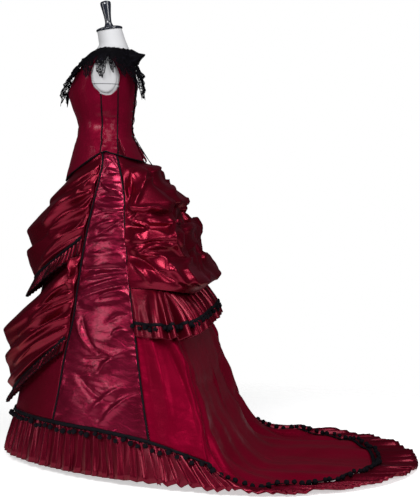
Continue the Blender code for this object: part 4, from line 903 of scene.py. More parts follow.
def ruffle(name, rows, depth, stand, seed):
    """Pleated ruffle under an apron's lower edge, and the braid over its sewn line."""
    grid = apron(rows)[..., :3]
    out = grid_out(grid)
    line = grid[-1] * 0.80 + grid[-2] * 0.20
    n = unit(out[-1] * 0.7 + out[-2] * 0.3)
    line[0] += unit(line[1] - line[0]) * 0.006
    line[-1] += unit(line[-2] - line[-1]) * 0.006
    whole = np.arange(len(line))
    stops = np.linspace(0, len(line) - 1, 90)
    tops, top_out = sampled(line, whole, stops), unit(sampled(n, whole, stops))
    ends, end_out = [], []
    for stop, u in zip(stops, np.interp(stops, whole, APRON_COLUMNS)):
        v, d = swag(u, *rows[-1])
        v += depth / skirt_length(u * front_seam(v))
        edge = front_seam(v) - beside(front_seam, skirt, v, PANEL_EDGE + 0.004)
        fade = min(1.0, min(stop, len(line) - 1 - stop) / 2.0)
        end_out.append(skirt_out(u * edge, v, True))
        ends.append(skirt(u * edge, v) + end_out[-1] * (d + 0.0030 + stand * fade))
    pleats = strip(tops + top_out * 0.0022, np.array(ends), top_out, np.array(end_out), 0.0165, 0.0026, 0.0090, seed, 6)
    cloth(f"{name}_ruffle", pleats, PLEAT_WALL, RUFFLE_TAFFETA, [f"apron_{name}_ruffle"])
    out = grid_out(pleats)
    crests = range(5, pleats.shape[1] - 1, len(PLEAT_STEPS))
    line_cords(f"{name}_ruffle_bound_folds", [pleats[:, k] + out[:, k] * 0.0003 for k in crests], BINDING, CORD_BLACK)
    low = pleats[-1] + unit(pleats[-1] - pleats[-2]) * 0.0006
    line_cords(f"{name}_ruffle_bound_edge", [low], BINDING, CORD_BLACK)
    at, out = spaced(line + (0, 0, 0.003), n, step=0.0040)
    wave = 0.0016 * np.sin(np.arange(len(at)) * 1.9)[:, None]
    band(f"{name}_apron_braid", at + (0, 0, 1) * wave, unit(out), np.array([[0, 0, -1.0]] * len(at)), 0.011, 0.0016,
         0.0062, f"apron_{name}_braid", 0.0012)


ruffle("upper", UPPER_APRON, 0.050, 0.016, 91)
ruffle("lower", LOWER_APRON, 0.040, 0.012, 95)

# Bustle: taffeta gathered up into puffs behind, caught down in places, its lower edge turned under
# Rows from the top: height and stand off the skirt, at the centre back and then at the side seams
BUSTLE = [(1.024, 0.0028, 1.020, 0.0026), (1.000, 0.0080, 0.995, 0.0050), (0.986, 0.046, 0.968, 0.010),
          (0.936, 0.056, 0.925, 0.016), (0.876, 0.104, 0.880, 0.0050), (0.858, 0.069, 0.845, 0.015),
          (0.796, 0.070, 0.800, 0.0060), (0.782, 0.096, 0.760, 0.018), (0.690, 0.075, 0.710, 0.0060),
          (0.652, 0.088, 0.672, 0.016), (0.614, 0.107, 0.636, 0.012), (0.577, 0.058, 0.610, 0.0060)]
# Puffs: from, to as share of the way from the side seam to the centre back and of the height; height, width
BUSTLE_PUFFS = [(0.05, 0.10, 0.45, 0.30, 0.022, 0.09), (0.05, 0.30, 0.55, 0.22, -0.014, 0.07),
                (0.10, 0.42, 0.60, 0.44, 0.024, 0.07), (0.05, 0.55, 0.45, 0.62, -0.012, 0.06),
                (0.08, 0.66, 0.55, 0.60, 0.026, 0.06), (0.15, 0.78, 0.75, 0.95, 0.022, 0.07),
                (0.60, 0.10, 0.72, 0.34, -0.022, 0.07), (0.68, 0.50, 0.80, 0.75, -0.024, 0.07)]
# Folds of the left half in y and z of the side view
BUSTLE_FOLDS = [
    (0.127, 0.973, 0.123, 0.885, 0.006, -0.0120, 0.014), (0.124, 0.986, 0.205, 0.993, 0.006, 0.0100, 0.010),
    (0.157, 0.985, 0.163, 0.935, 0.000, 0.0120, 0.010), (0.163, 0.935, 0.230, 0.960, 0.010, 0.0120, 0.010),
    (0.161, 0.915, 0.150, 0.860, 0.000, 0.0120, 0.012), (0.137, 0.860, 0.210, 0.859, -0.010, 0.0160, 0.010),
    (0.197, 0.854, 0.238, 0.855, 0.000, 0.0100, 0.012), (0.132, 0.835, 0.204, 0.847, 0.006, -0.0120, 0.007),
    (0.204, 0.847, 0.249, 0.840, -0.006, -0.0130, 0.007), (0.145, 0.819, 0.197, 0.780, 0.010, 0.0110, 0.008),
    (0.138, 0.793, 0.177, 0.764, 0.000, 0.0080, 0.008), (0.165, 0.819, 0.190, 0.782, 0.000, -0.0060, 0.007),
    (0.246, 0.826, 0.273, 0.765, 0.000, 0.0080, 0.008), (0.198, 0.816, 0.274, 0.782, 0.010, 0.0100, 0.010),
    (0.155, 0.765, 0.258, 0.766, 0.012, 0.0150, 0.010), (0.147, 0.732, 0.183, 0.744, 0.000, 0.0060, 0.008),
    (0.186, 0.727, 0.259, 0.741, 0.012, 0.0150, 0.010), (0.186, 0.749, 0.258, 0.753, 0.006, -0.0090, 0.008),
    (0.257, 0.812, 0.307, 0.684, -0.010, 0.0140, 0.010), (0.251, 0.707, 0.305, 0.686, 0.000, 0.0080, 0.006),
    (0.277, 0.764, 0.303, 0.706, 0.000, -0.0100, 0.010), (0.150, 0.710, 0.296, 0.621, 0.013, -0.0100, 0.012),
    (0.182, 0.724, 0.313, 0.629, 0.016, 0.0140, 0.012), (0.141, 0.691, 0.210, 0.628, 0.010, 0.0080, 0.008),
    (0.262, 0.692, 0.302, 0.624, -0.006, -0.0080, 0.007), (0.305, 0.685, 0.352, 0.618, -0.006, 0.0100, 0.008)]
# The same kind of folds across the centre back, in x and z, where the photo doesn't look
BACK_FOLDS = [(-0.13, 0.975, 0.11, 0.960, 0.012, 0.0090, 0.012), (-0.09, 0.930, 0.13, 0.905, -0.012, 0.0090, 0.012),
              (-0.14, 0.868, 0.06, 0.845, 0.016, 0.0100, 0.013), (-0.04, 0.835, 0.15, 0.800, -0.010, -0.0080, 0.010),
              (-0.12, 0.770, 0.10, 0.775, 0.014, 0.0110, 0.012), (-0.06, 0.735, 0.07, 0.715, 0.010, 0.0100, 0.010),
              (-0.15, 0.705, 0.02, 0.655, 0.012, 0.0110, 0.013), (0.02, 0.690, 0.16, 0.640, -0.012, 0.0100, 0.012),
              (-0.03, 0.630, 0.10, 0.612, 0.008, 0.0080, 0.010)]
# The bustle's copy is darker than the skirt's: painted shade
PUFF_TAFFETA = wine_taffeta("wine_taffeta_bustle", (0.095, 0.0006, 0.007), (0.200, 0.003, 0.022), 0.31, crush=0.1)


def back_angle(z, u):
    """Angle at a share u of the way from the left back seam (0) to the right one (2), at a height."""
    k = min(u, 2 - u)
    share = share_at(95.0, z)
    for _ in range(3):
        start = back_seam(share) + beside(back_seam, skirt, share, PANEL_EDGE + 0.0006)
        share = share_at(start, z)
    angle = start + (180.0 - start) * k
    return angle if u <= 1 else 360.0 - angle


def to_line(u, w, u0, w0, u1, w1):
    """Distance of a place from a straight line between two others."""
    t = min(max(((u - u0) * (u1 - u0) + (w - w0) * (w1 - w0)) / ((u1 - u0)**2 + (w1 - w0)**2), 0), 1)
    return math.hypot(u - u0 - t * (u1 - u0), w - w0 - t * (w1 - w0))


bustle = []
half_columns = [0, 0.05, 0.11, 0.18, 0.25, 0.32, 0.39, 0.46, 0.53, 0.60, 0.68, 0.76, 0.84, 0.92, 1.0]
back_columns = half_columns + [2 - u for u in reversed(half_columns[:-1])]
for row, (z_back, d_back, z_side, d_side) in enumerate(BUSTLE):
    bustle.append([])
    w = row / (len(BUSTLE) - 1)
    for u in back_columns:
        k = min(u, 2 - u)
        z = z_side + (z_back - z_side) * smoothstep(0.0, 0.85, k)
        angle = back_angle(z, u)
        stand = d_side + (d_back - d_side) * smoothstep(-0.1, 0.75, k)**1.1
        inside = min(1.0, max(0, row - 1) / 2) * min(1.0, (len(BUSTLE) - 1 - row) / 1.5) * min(1.0, k / 0.10)
        stand += inside * sum(f[4] * math.exp(-(to_line(k, w, *f[:4]) / f[5])**2) for f in BUSTLE_PUFFS)
        point = skirt(angle, share_at(angle, z)) + skirt_out(angle, share_at(angle, z), True) * max(stand, 0.0026)
        bustle[-1].append([*point, u, w])
bustle = refine(bustle, 150, 190, 0.6)
xyz, u, w = bustle[..., :3], bustle[..., 3], bustle[..., 4]
out = grid_out(xyz)
inside = smoothstep(0, 0.06, np.minimum(u, 2 - u)) * smoothstep(0.02, 0.09, w) * smoothstep(1.0, 0.93, w)
hand = smoothstep(0.06, 0.13, np.abs(xyz[..., 0]))
left = folds(xyz[..., 1], xyz[..., 2], BUSTLE_FOLDS)
right = folds(xyz[..., 1] - 0.008, xyz[..., 2] + 0.012, other_side(BUSTLE_FOLDS, 0.6, 0.9, 1.15))
middle = folds(xyz[..., 0], xyz[..., 2], BACK_FOLDS)
height = np.where(xyz[..., 0] > 0, left, right) * hand + middle * (1 - hand)
turn = np.arctan2(xyz[..., 0], xyz[..., 1]) * 0.27
height = height * 1.5 + creases(turn, xyz[..., 2], 0.150, 0.065, 101) * 0.0030
cloth("bustle_puffs", xyz + out * (inside * height)[..., None], TAFFETA_WALL, PUFF_TAFFETA, ["bustle"])

# Flounce under the bustle: deep uneven gathers, with its own pompom braid above the lower edge
# Rows from the top: height, stand off the skirt, height of the gathers
BACK_FLOUNCE = [(0.612, 0.0026, 0.0004), (0.572, 0.026, 0.0090), (0.520, 0.042, 0.0160), (0.462, 0.046, 0.0190)]
GATHERS = 16
BRAID_ROW = 22        # row of the flounce's grid that its braid is sewn on


def gather(u, w):
    """Height of uneven gathers, -1 to 1, at a place round the flounce and down it."""
    near = np.minimum(u, 2 - u)
    phase = GATHERS * u / 2 + 1.3 * np.sign(u - 1) * (np.exp(-near * 4) - 1)
    phase = phase + 0.50 * ripple(u, 0 * u, 0.17, 1.0, 111) + 0.16 * w * ripple(u, 0 * u, 0.19, 1.0, 112)
    wave = np.cos(2 * math.pi * phase)
    return np.sign(wave) * np.abs(wave)**0.65 * (0.95 + 0.35 * ripple(u, w, 0.15, 0.8, 113))


flounce = []
for row, (z, stand, wave) in enumerate(BACK_FLOUNCE):
    flounce.append([])
    for u in np.linspace(0, 2, 41):
        grow = min(1.0, min(u, 2 - u) / 0.09)**0.7
        angle = back_angle(z, u)
        v = share_at(angle, z)
        d = 0.0030 + (stand - 0.0030) * grow
        flounce[-1].append([*(skirt(angle, v) + skirt_out(angle, v, True) * d), u, row / 3,
                            wave * (0.35 + 0.65 * grow)])
flounce = refine(flounce, 30, 400)
xyz, u, w = flounce[..., :3], flounce[..., 3], flounce[..., 4]
out = grid_out(xyz)
height = flounce[..., 5] * gather(u, w)
edge = np.minimum(u, 2 - u)
height = np.maximum(height, -0.0005 - 0.12 * edge)
height += 0.0016 * creases(u * 0.4, w * 0.15, 0.040, 0.030, 115) * smoothstep(0, 0.3, w) * smoothstep(0, 0.05, edge)
xyz = xyz + out * height[..., None]
cloth("under_flounce", xyz, TAFFETA_WALL, RUFFLE_TAFFETA, ["back_flounce"])
at, out, down = spaced(xyz[BRAID_ROW], grid_out(xyz)[BRAID_ROW], unit(xyz[BRAID_ROW + 3] - xyz[BRAID_ROW]), step=0.0042)
band("under_flounce_braid", at, unit(out), unit(down), 0.0095, 0.0018, 0.0010, "back_flounce_pompom_trim", 0.0018)
at, out, down = spaced(at, out, down, step=0.0260)
places = scattered(at, unit(out), unit(down), 0.0120, 0.0045, 0.0060, np.random.default_rng(8))
balls("under_flounce_pompoms", places, 0.0125, 9)

# Bodice: boned taffeta panels, smooth over the bust and lightly wrinkled at the waist, with a flared basque
# Level rings: height, half width, Y of the front, the back and the centre
BODICE = [(1.090, 0.1250, -0.0900, 0.0970, 0.000), (1.130, 0.1120, -0.0865, 0.0955, 0.000),
          (1.180, 0.1270, -0.1040, 0.1010, 0.000), (1.228, 0.1400, -0.1170, 0.1070, 0.000),
          (1.270, 0.1530, -0.1015, 0.1070, 0.000), (1.309, 0.1600, -0.0760, 0.1005, 0.002),
          (1.336, 0.1545, -0.0550, 0.0940, 0.006), (1.352, 0.1410, -0.0430, 0.0900, 0.012),
          (1.366, 0.1150, -0.0330, 0.0885, 0.020), (1.379, 0.0800, -0.0240, 0.0890, 0.028)]
# Basque: degrees from the front, length below the waist, flare
BASQUE = [(0, 0.152, 0.03), (15, 0.146, 0.03), (30, 0.128, 0.03), (50, 0.101, 0.035), (70, 0.079, 0.03),
          (90, 0.067, 0.03), (105, 0.072, 0.04), (123, 0.079, 0.06), (135, 0.082, 0.09), (150, 0.084, 0.11),
          (180, 0.090, 0.12)]
ARM_ANGLE, ARM_SPAN = 109.8, 26.3      # centre and half width of the armhole, in degrees
ARM_Z, ARM_HALF = 1.288, 0.066         # its centre's height and half height
SHOULDER = 108.0
SEAM_FRONT, SEAM_BACK = 100.0, 131.0
BODICE_WALL = 0.0020                   # wall of the solid panels
BODICE_CLOTH = 0.0012


def bodice_ring(z, angle, inset=0.0):
    """Point of the bodice at a height and an angle, or one inside it."""
    row = [curve_at([(r[0], r[k]) for r in BODICE], z) for k in range(1, 5)]
    s, c = math.sin(math.radians(angle)), math.cos(math.radians(angle))
    depth = (row[3] - row[1]) if c > 0 else (row[2] - row[3])
    return np.array([(row[0] - inset) * s, row[3] - (depth - inset) * c, z])


def neck_scale(angle):
    """How far the top edge dips below the shoulder at an angle."""
    c = math.cos(math.radians(angle))
    return 0.976 - 0.085 * max(0.0, c)**2 - 0.006 * max(0.0, -c)**2


def basque_at(angle, column):
    return curve_at([(row[0], row[column]) for row in BASQUE], from_front(angle))


def bodice_point(angle, height, recess=0.0):
    """Height over the waist, or below it as minus a share of the basque's length."""
    if height >= 0:
        z = WAIST_Z + height * (1 - (1 - neck_scale(angle)) * smoothstep(0.10, 0.296, height))
        return bodice_ring(z, angle, recess)
    s = -height * basque_at(angle, 1)
    share = s / skirt_length(angle)
    return skirt(angle, share) + skirt_out(angle, share, True) * (0.0070 + s * basque_at(angle, 2) - recess)


def bodice_out(angle, height):
    across = bodice_point(angle + 0.7, height) - bodice_point(angle - 0.7, height)
    reach = (0.003, 0.003) if height > 0.006 else (0.03, 0.03) if height < -0.04 else (0.008 - height, 0.10 + height)
    up = bodice_point(angle, height + reach[0]) - bodice_point(angle, height - reach[1])
    return unit(np.cross(across, up))


def arm_angle(z, side):
    t = min(max((z - ARM_Z) / ARM_HALF, -1.0), 1.0)
    return ARM_ANGLE + side * ARM_SPAN * math.sqrt(1 - t * t)


def around(angle, height, distance):
    """Degrees that make a distance round the bodice."""
    return distance / (np.linalg.norm(bodice_point(angle + 0.5, height) - bodice_point(angle - 0.5, height)) + 1e-9)


def arm_bottom(angle):
    """Height over the waist of the armhole's lower edge."""
    return ARM_Z - ARM_HALF * math.sqrt(1 - ((angle - ARM_ANGLE) / ARM_SPAN)**2) - WAIST_Z


FRONT_TOP, BACK_TOP = arm_bottom(SEAM_FRONT), arm_bottom(SEAM_BACK)
LOW = [-1.0, -0.66, -0.33, 0.0, 0.04, 0.09]
FRONT_ROWS = LOW + [FRONT_TOP, 0.160, 0.195, 0.232, 0.2555, 0.268, 0.281, 0.296]
BACK_ROWS = LOW + [BACK_TOP, 0.198, 0.232, 0.2555, 0.268, 0.281, 0.296]
SIDE_EDGE = PIPING * 0.8 + 2 * SEAM_GAP
LACING_HALF = 0.011


def seam_angles(height):
    """Angles of the front seam, the back seam and the back panel's edge; they swing forward below the waist."""
    low = max(0.0, -height)
    return SEAM_FRONT - 21.0 * low**0.9, SEAM_BACK - 21.0 * low, SEAM_BACK - 6.0 * low


def off_seam(which, height, distance):
    """Angle of a line beside one of the bodice's seams."""
    return seam_angles(height)[which] + beside(lambda h: seam_angles(h)[which], bodice_point, height, distance)


def panel_edge(height, seam, top, side):
    """Edge of the front panel (side -1) or the back one (side 1): its seam, then the armhole, then the shoulder."""
    if height <= top + 1e-6:
        return off_seam(seam, height, side * SIDE_EDGE)
    if height < 0.262:
        return arm_angle(WAIST_Z + height, side)
    return SHOULDER + side * around(SHOULDER, height, SEAM_GAP / 2)


def bodice_rows(heights, left, right, columns, recess=0.0):
    """Grid from the top down, with angle and height as a fourth and fifth value."""
    rows = []
    for h in reversed(heights):
        a, b = left(h), right(h)
        rows.append([[*bodice_point(a + (b - a) * t, h, recess), a + (b - a) * t, h] for t in columns])
    return np.array(rows)


def waist_creases(grid, out, seed):
    """Fine crosswise wrinkles where the bodice is pulled in at the waist, and along its seams."""
    z, turn = grid[..., 2], np.radians(grid[..., 3]) * 0.12
    lift = creases(turn, z, 0.034, 0.011, seed) * 0.0019 * np.exp(-((z - 1.115) / 0.050)**2)
    lift += creases(turn, z, 0.030, 0.060, seed + 1) * 0.0018
    lift += creases(turn, z, 0.050, 0.014, seed + 2) * 0.0008
    lift = lift * np.sin(math.pi * np.linspace(0, 1, grid.shape[1]))**0.4
    return out * lift[..., None]


# The bodice's copy is darker than the skirt's: painted shade
BODICE_TAFFETA = wine_taffeta("wine_taffeta_bodice", (0.095, 0.0006, 0.008), (0.168, 0.0018, 0.019), 0.50, 0.50, 0.35,
                              0.15, (90, 30), 0.0)
spread = [0, 0.07, 0.15, 0.25, 0.35, 0.44, 0.5, 0.56, 0.65, 0.75, 0.85, 0.93, 1]
front_edge = lambda h: panel_edge(h, 0, FRONT_TOP, -1)
back_edge = lambda h: panel_edge(h, 2, BACK_TOP, 1)
front_grid = bodice_rows(FRONT_ROWS, lambda h: -front_edge(h), front_edge, spread)
fine = refine(front_grid, 80, 90)
out = grid_out(fine[..., :3])
xyz = fine[..., :3] + waist_creases(fine, out, 121)
xyz = xyz + stitch_puckers(xyz, out, 0.0017, 123, 0.011, 0.014)
cloth("bodice_front_panel", xyz, BODICE_CLOTH, BODICE_TAFFETA, ["bodice_front"])

back_grid = bodice_rows(BACK_ROWS, back_edge, lambda h: 180.0 - around(180.0, h, LACING_HALF),
                        [0, 0.14, 0.32, 0.55, 0.80, 1])
side_rows = []
for h in LOW + [None]:
    level = h if h is not None else 0.13
    near, far = off_seam(0, level, SIDE_EDGE), off_seam(1, level, -SIDE_EDGE)
    row = []
    for t in (0, 0.3, 0.62, 1):
        a = near + (far - near) * t
        k = h if h is not None else arm_bottom(a)
        row.append([*bodice_point(a, k), a, k])
    side_rows.insert(0, row)
side_grid = np.array(side_rows)
inset_rows = []
for h in (-0.2, -0.33, -0.66, -1.0):
    near, far = off_seam(1, h, SIDE_EDGE), off_seam(2, h, SIDE_EDGE - SEAM_GAP)
    sink = [0.0004, 0.0006, 0.0022, 0.0024]
    inset_rows.append([[*bodice_point(near + (far - near) * t, h, k * min(1.0, -h * 3)), near + (far - near) * t, h]
                       for t, k in zip((0, 0.35, 0.65, 1), sink)])
inset_grid = np.array(inset_rows)


def edge_line(grid):
    """Line of the edging under a panel's lower edge."""
    out = grid_out(grid[..., :3])
    last = grid[-1, :, :3]
    down = unit(np.cross(out[-1], np.gradient(last, axis=0)))
    down *= np.sign(np.sum(down * (last - grid[-2, :, :3]), axis=1, keepdims=True))
    return last - out[-1] * BODICE_WALL / 2 + down * (EDGING + SEAM_GAP)


EDGING = 0.0022
seam_lines = {part: [bodice_point(seam_angles(h)[k], h) - bodice_out(seam_angles(h)[k], h) * BODICE_WALL / 2
                     for h in [-0.985] + rows[1:7]]
              for k, part, rows in ((0, "front", FRONT_ROWS), (1, "back", BACK_ROWS))}
tail = np.concatenate([edge_line(side_grid), edge_line(inset_grid)[1:-1], edge_line(back_grid)])
seam_cord("basque_edging_front", edge_line(front_grid), EDGING, "bodice_edging_front")
for hand, sign in HANDS:
    turn = (lambda g: g) if sign > 0 else mirrored
    for part, grid, rows, cols, seed in (("back", back_grid, 80, 50, 131), ("side", side_grid, 60, 32, 141),
                                         ("inset", inset_grid, 30, 24, 151)):
        fine = refine(turn(grid), rows, cols)
        out = grid_out(fine[..., :3])
        xyz = fine[..., :3] + waist_creases(fine, out, seed + (3 if sign < 0 else 0))
        if part != "inset":
            xyz = xyz + stitch_puckers(xyz, out, 0.0015, seed, 0.010, 0.011)
        # The insets take the darker hem taffeta instead of the bodice's: painted shade in the recess between the side
        # and back panels
        cloth(f"bodice_{part}_panel_{hand}", xyz, BODICE_CLOTH, HEM_TAFFETA if part == "inset" else BODICE_TAFFETA,
              [f"bodice_{part}_{hand}"])
    for part in ("front", "back"):
        seam_cord(f"bodice_cord_{part}_{hand}", np.array(seam_lines[part]) * (sign, 1, 1), PIPING,
                  f"bodice_piping_{part}_{hand}")
    seam_cord(f"basque_edging_{hand}", tail * (sign, 1, 1), EDGING, f"bodice_edging_{hand}")

# Back lacing: a black placket behind the opening and one lace zigzagging through metal eyelets over it
placket = bodice_rows([0.0] + BACK_ROWS[4:-3], lambda h: 180.0 - around(180.0, h, LACING_HALF + 0.012),
                      lambda h: 180.0 + around(180.0, h, LACING_HALF + 0.012), [0, 0.5, 1], BODICE_WALL + 0.0010)
PLACKET_BLACK = black_thread("placket_cloth", 600, 0.7)
cloth("lacing_placket", refine(placket[..., :3], 40, 12), 0.0010, PLACKET_BLACK, ["bodice_placket"])
lace_line, eyelets = [], []
for k in range(10):
    h = 0.245 - 0.245 * k / 9
    a = 180.0 + (1 if k % 2 else -1) * around(180.0, h, LACING_HALF + 0.006)
    lace_line.append(bodice_point(a, h) + bodice_out(a, h) * 0.0030)
    for sign in (1, -1):
        b = 180.0 + sign * around(180.0, h, LACING_HALF + 0.006)
        eyelets.append((bodice_point(b, h) + bodice_out(b, h) * 0.0004, bodice_out(b, h)))
seam_cord("zigzag_lace", lace_line, 0.0013, "bodice_lacing", count=120)
EYELET_METAL = Finish("eyelet_metal", (0.10, 0.10, 0.11), 0.30, Metallic=1.0).material
rings = []
for centre, n in eyelets:
    side = unit(np.cross(n, (0, 0, 1)))
    rise = np.cross(side, n)
    rings.append([centre + 0.0028 * (side * math.cos(t) + rise * math.sin(t)) for t in np.linspace(0, 2 * math.pi, 15)])
line_cords("eyelets", rings, 0.0007, EYELET_METAL)

# Lace collar: fine black floral lace over the shoulders, dense at the neck, its edge in long leaf points
# Lower edge: degrees from the front, height, stand off the bodice
LACE_EDGE = [(1.0, 1.234, 0.006), (8, 1.222, 0.012), (15, 1.206, 0.026), (20, 1.232, 0.014), (25, 1.254, 0.009),
             (33, 1.236, 0.026), (38, 1.262, 0.014), (43, 1.284, 0.009), (51, 1.268, 0.022), (57, 1.296, 0.012),
             (64, 1.320, 0.007), (70, 1.308, 0.009), (75, 1.292, 0.010), (79, 1.288, 0.010), (84, 1.297, 0.009),
             (88, 1.318, 0.007), (91, 1.336, 0.005), (94, 1.312, 0.006), (99, 1.294, 0.007), (103, 1.286, 0.007),
             (107, 1.296, 0.006), (110, 1.318, 0.005), (113, 1.336, 0.005), (120, 1.302, 0.007), (124, 1.314, 0.006),
             (129, 1.320, 0.006), (136, 1.288, 0.016), (141, 1.296, 0.010), (146, 1.301, 0.008), (155, 1.252, 0.022),
             (160, 1.262, 0.014), (165, 1.266, 0.012), (172, 1.222, 0.020), (176, 1.226, 0.018), (179.0, 1.230, 0.014)]


def black_lace():
    """Net of fine threads with worked flowers, leaves and stems; the holes of the net are open."""
    finish = Finish("black_floral_lace", (0.003, 0.003, 0.004), 0.7, Specular_IOR_Level=0.04)
    flat = finish.place((1, 1, 1))
    bend = finish.node("ShaderNodeTexNoise", out=1, Vector=flat, Scale=60.0, Detail=1.0)
    bent = finish.node("ShaderNodeMix", {"data_type": "VECTOR"}, out=1, i0=0.012, i4=flat, i5=bend)
    net = finish.cells("DISTANCE_TO_EDGE", flat, 230.0)
    stems = finish.cells("DISTANCE_TO_EDGE", bent, 62.0)
    petals, blooms = finish.cells("F1", bent, 95.0), finish.cells("F1", bent, 42.0)
    marks = finish.node("ShaderNodeUVMap", {"uv_map": "border"})
    border, dense = (finish.node("ShaderNodeSeparateXYZ", out=k, Vector=marks) for k in (0, 1))
    worked = ((dense * 0.07 + 0.060 - stems).over(0.0) + (dense * 0.22 + 0.28 - petals).over(0.0)
              + (dense * 0.20 + 0.28 - blooms).over(0.0))
    finish.feed("Alpha", finish.clamped(worked + (dense * 0.05 + 0.060 - net).over(0.0) + border.over(0.5)
                                        + dense.over(0.80)))
    relief = finish.clamped(worked)
    finish.feed("Normal", finish.bump(relief, 0.0006, 0.9))
    finish.feed("Base Color", finish.mix(relief, (0.004, 0.0035, 0.006), (0.0015, 0.0012, 0.002)))
    return finish.material


LACE_BLACK = black_lace()
LACE_CLOTH = 0.0007
collar = []
for g in (0.0, 0.09, 0.18, 0.28, 0.42, 0.60, 0.80, 1.0):
    collar.append([])
    for angle, z_edge, stand in LACE_EDGE:
        top = 0.2952 * neck_scale(angle)
        h = top + (z_edge - WAIST_Z - top) * g
        k = h
        for _ in range(4):
            k = h / (1 - (1 - neck_scale(angle)) * smoothstep(0.10, 0.296, k))
        k = min(k, 0.296)
        lift = 0.0042 - 0.0025 * (g == 0) + stand * g**2.4
        if angle > 166:
            lift += 0.046 * smoothstep(164, 179, angle) * (math.exp(-((g - 0.17) / 0.10)**2)
                                                         + 0.36 * math.exp(-((g - 0.66) / 0.18)**2))
        collar[-1].append([*(bodice_point(angle, k) + bodice_out(angle, k) * lift), angle, g])
collar = refine(collar, 40, 380)
scallops = np.abs(np.sin(collar[..., 3] * 0.74))[..., None] * collar[..., 4:5]**5
collar[..., :3] += unit(np.gradient(collar[..., :3], axis=0)) * scallops * 0.0085
for hand, sign in HANDS:
    grid = collar if sign > 0 else mirrored(collar)
    xyz, angle, g = grid[..., :3], grid[..., 3], grid[..., 4]
    round_neck = np.radians(angle) * 0.15
    lift = 0.0022 * ripple(round_neck, xyz[..., 2], 0.015, 0.022, 161 + sign) * smoothstep(0.3, 1.0, g)
    tiers = ((g * 3.4 + 0.5 * ripple(round_neck, 0 * g, 0.02, 1.0, 191 + sign)) % 1.0)**1.7
    ends = smoothstep(70, 40, from_front(angle)) + smoothstep(140, 158, from_front(angle))
    lift += 0.0095 * tiers * smoothstep(0.10, 0.35, g) * ends
    lift += 0.0022 * np.abs(ripple(round_neck, 0 * g, 0.006, 1.0, 171 + sign)) * smoothstep(0.25, 0.0, g)
    xyz[..., 2] += 0.0030 * ripple(round_neck, 0 * g, 0.005, 1.0, 181 + sign) * smoothstep(0.20, 0.0, g)
    xyz = xyz + grid_out(xyz) * lift[..., None]
    piece = cloth(f"lace_collar_piece_{hand}", xyz, LACE_CLOTH, LACE_BLACK, [f"lace_collar_{hand}"])
    border = piece.data.uv_layers.new(name="border")
    corners = np.empty(len(piece.data.loops), np.int32)
    piece.data.loops.foreach_get("vertex_index", corners)
    marks = [np.tile(mark.ravel(), 2)[corners] for mark in ((g > 0.975) | (g < 0.10), smoothstep(0.85, 0.35, g))]
    border.data.foreach_set("uv", np.stack(marks, 1).astype(np.float32).ravel())
    line_cords(f"lace_outline_{hand}", [(xyz + grid_out(xyz) * 0.0003)[-1, ::2]], 0.0009, LACE_BLACK)

# Dress form: a body in off-white stretch cloth with a seam across the arm plates, a glossy cap and a steel stand
JERSEY = Finish("form_jersey", (0.46, 0.46, 0.475), 0.75, Specular_IOR_Level=0.2)
tone = JERSEY.mix(JERSEY.speckle(14.0, 2.0), (0.44, 0.44, 0.455), (0.49, 0.49, 0.50))
level = JERSEY.node("ShaderNodeSeparateXYZ", out=2, Vector=JERSEY.node("ShaderNodeTexCoord", out=3))
seam = (0.0011 - abs(level - 1.2585)).over(0.0)      # half width and height of the seam across the arm plates
JERSEY.feed("Base Color", JERSEY.mix(seam, tone, (0.05, 0.05, 0.06)))
JERSEY.feed("Normal", JERSEY.bump(JERSEY.speckle(900.0, 1.0), 0.0002, 0.5))
CAP = Finish("cap_lacquer", (0.012, 0.014, 0.022), 0.22, Coat_Weight=0.6, Coat_Roughness=0.08)
CAP.feed("Roughness", CAP.speckle(60.0, 3.0) * 0.16 + 0.14)
STEEL = Finish("brushed_stand_steel", (0.56, 0.56, 0.57), 0.30, Metallic=1.0)
brushed = STEEL.node("ShaderNodeMapping", Vector=STEEL.node("ShaderNodeTexCoord", out=3), Scale=(1, 1, 60))
brushed = STEEL.node("ShaderNodeTexNoise", Vector=brushed, Scale=25.0, Detail=3.0)
STEEL.feed("Roughness", brushed * 0.18 + 0.20)
STEEL.feed("Normal", STEEL.bump(brushed, 0.0002, 0.4))
# Level rings like those of the bodice
FORM_HIPS = [(0.800, 0.128, -0.078, 0.095, 0.008), (0.880, 0.143, -0.088, 0.105, 0.008),
             (0.960, 0.140, -0.086, 0.100, 0.006), (1.030, 0.124, -0.078, 0.091, 0.004)]
FORM_NECK = [(1.3900, 0.0560, -0.0180, 0.0800, 0.031), (1.4120, 0.0465, -0.0180, 0.0700, 0.026),
             (1.4420, 0.0405, -0.0225, 0.0597, 0.0186)]
NECK_TILT = math.radians(8.5)
NECK_TOP = (0.0, 0.0186, 1.4423)


def closed_rings(name, rings, material, node):
    """A closed body from level rings of points, the lowest first."""
    rings = np.asarray(rings)
    faces = [face[::-1] for face in ring_faces(*rings.shape[:2])]
    piece = mesh_piece(name, rings.reshape(-1, 3).tolist(), faces, None, material)
    piece.data.polygons[-1].use_smooth = piece.data.polygons[-2].use_smooth = False
    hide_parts(node)


def eased(profile, count):
    """A profile of radius and height on a smooth curve through its points."""
    points = np.array([[p[0], p[1], 0.0] for p in profile])[:, None]
    return refine(np.concatenate([points, points], 1), count, 2)[:, 0, :2]


def turned(name, profile, count, sides, material, part, place=(0, 0, 0), tilt=0.0):
    """A turned body from a profile of radius and height, eased to a count of rings where one is given."""
    a = np.linspace(0, 2 * math.pi, sides, endpoint=False)
    rings = []
    for radius, z in eased(profile, count) if count else profile:
        x, y = radius * np.cos(a), radius * np.sin(a)
        level = [x, y * math.cos(tilt) - z * math.sin(tilt), y * math.sin(tilt) + z * math.cos(tilt)]
        rings.append(np.stack(level, 1) + place)
    closed_rings(name, rings, material.material, f"form_{part}")


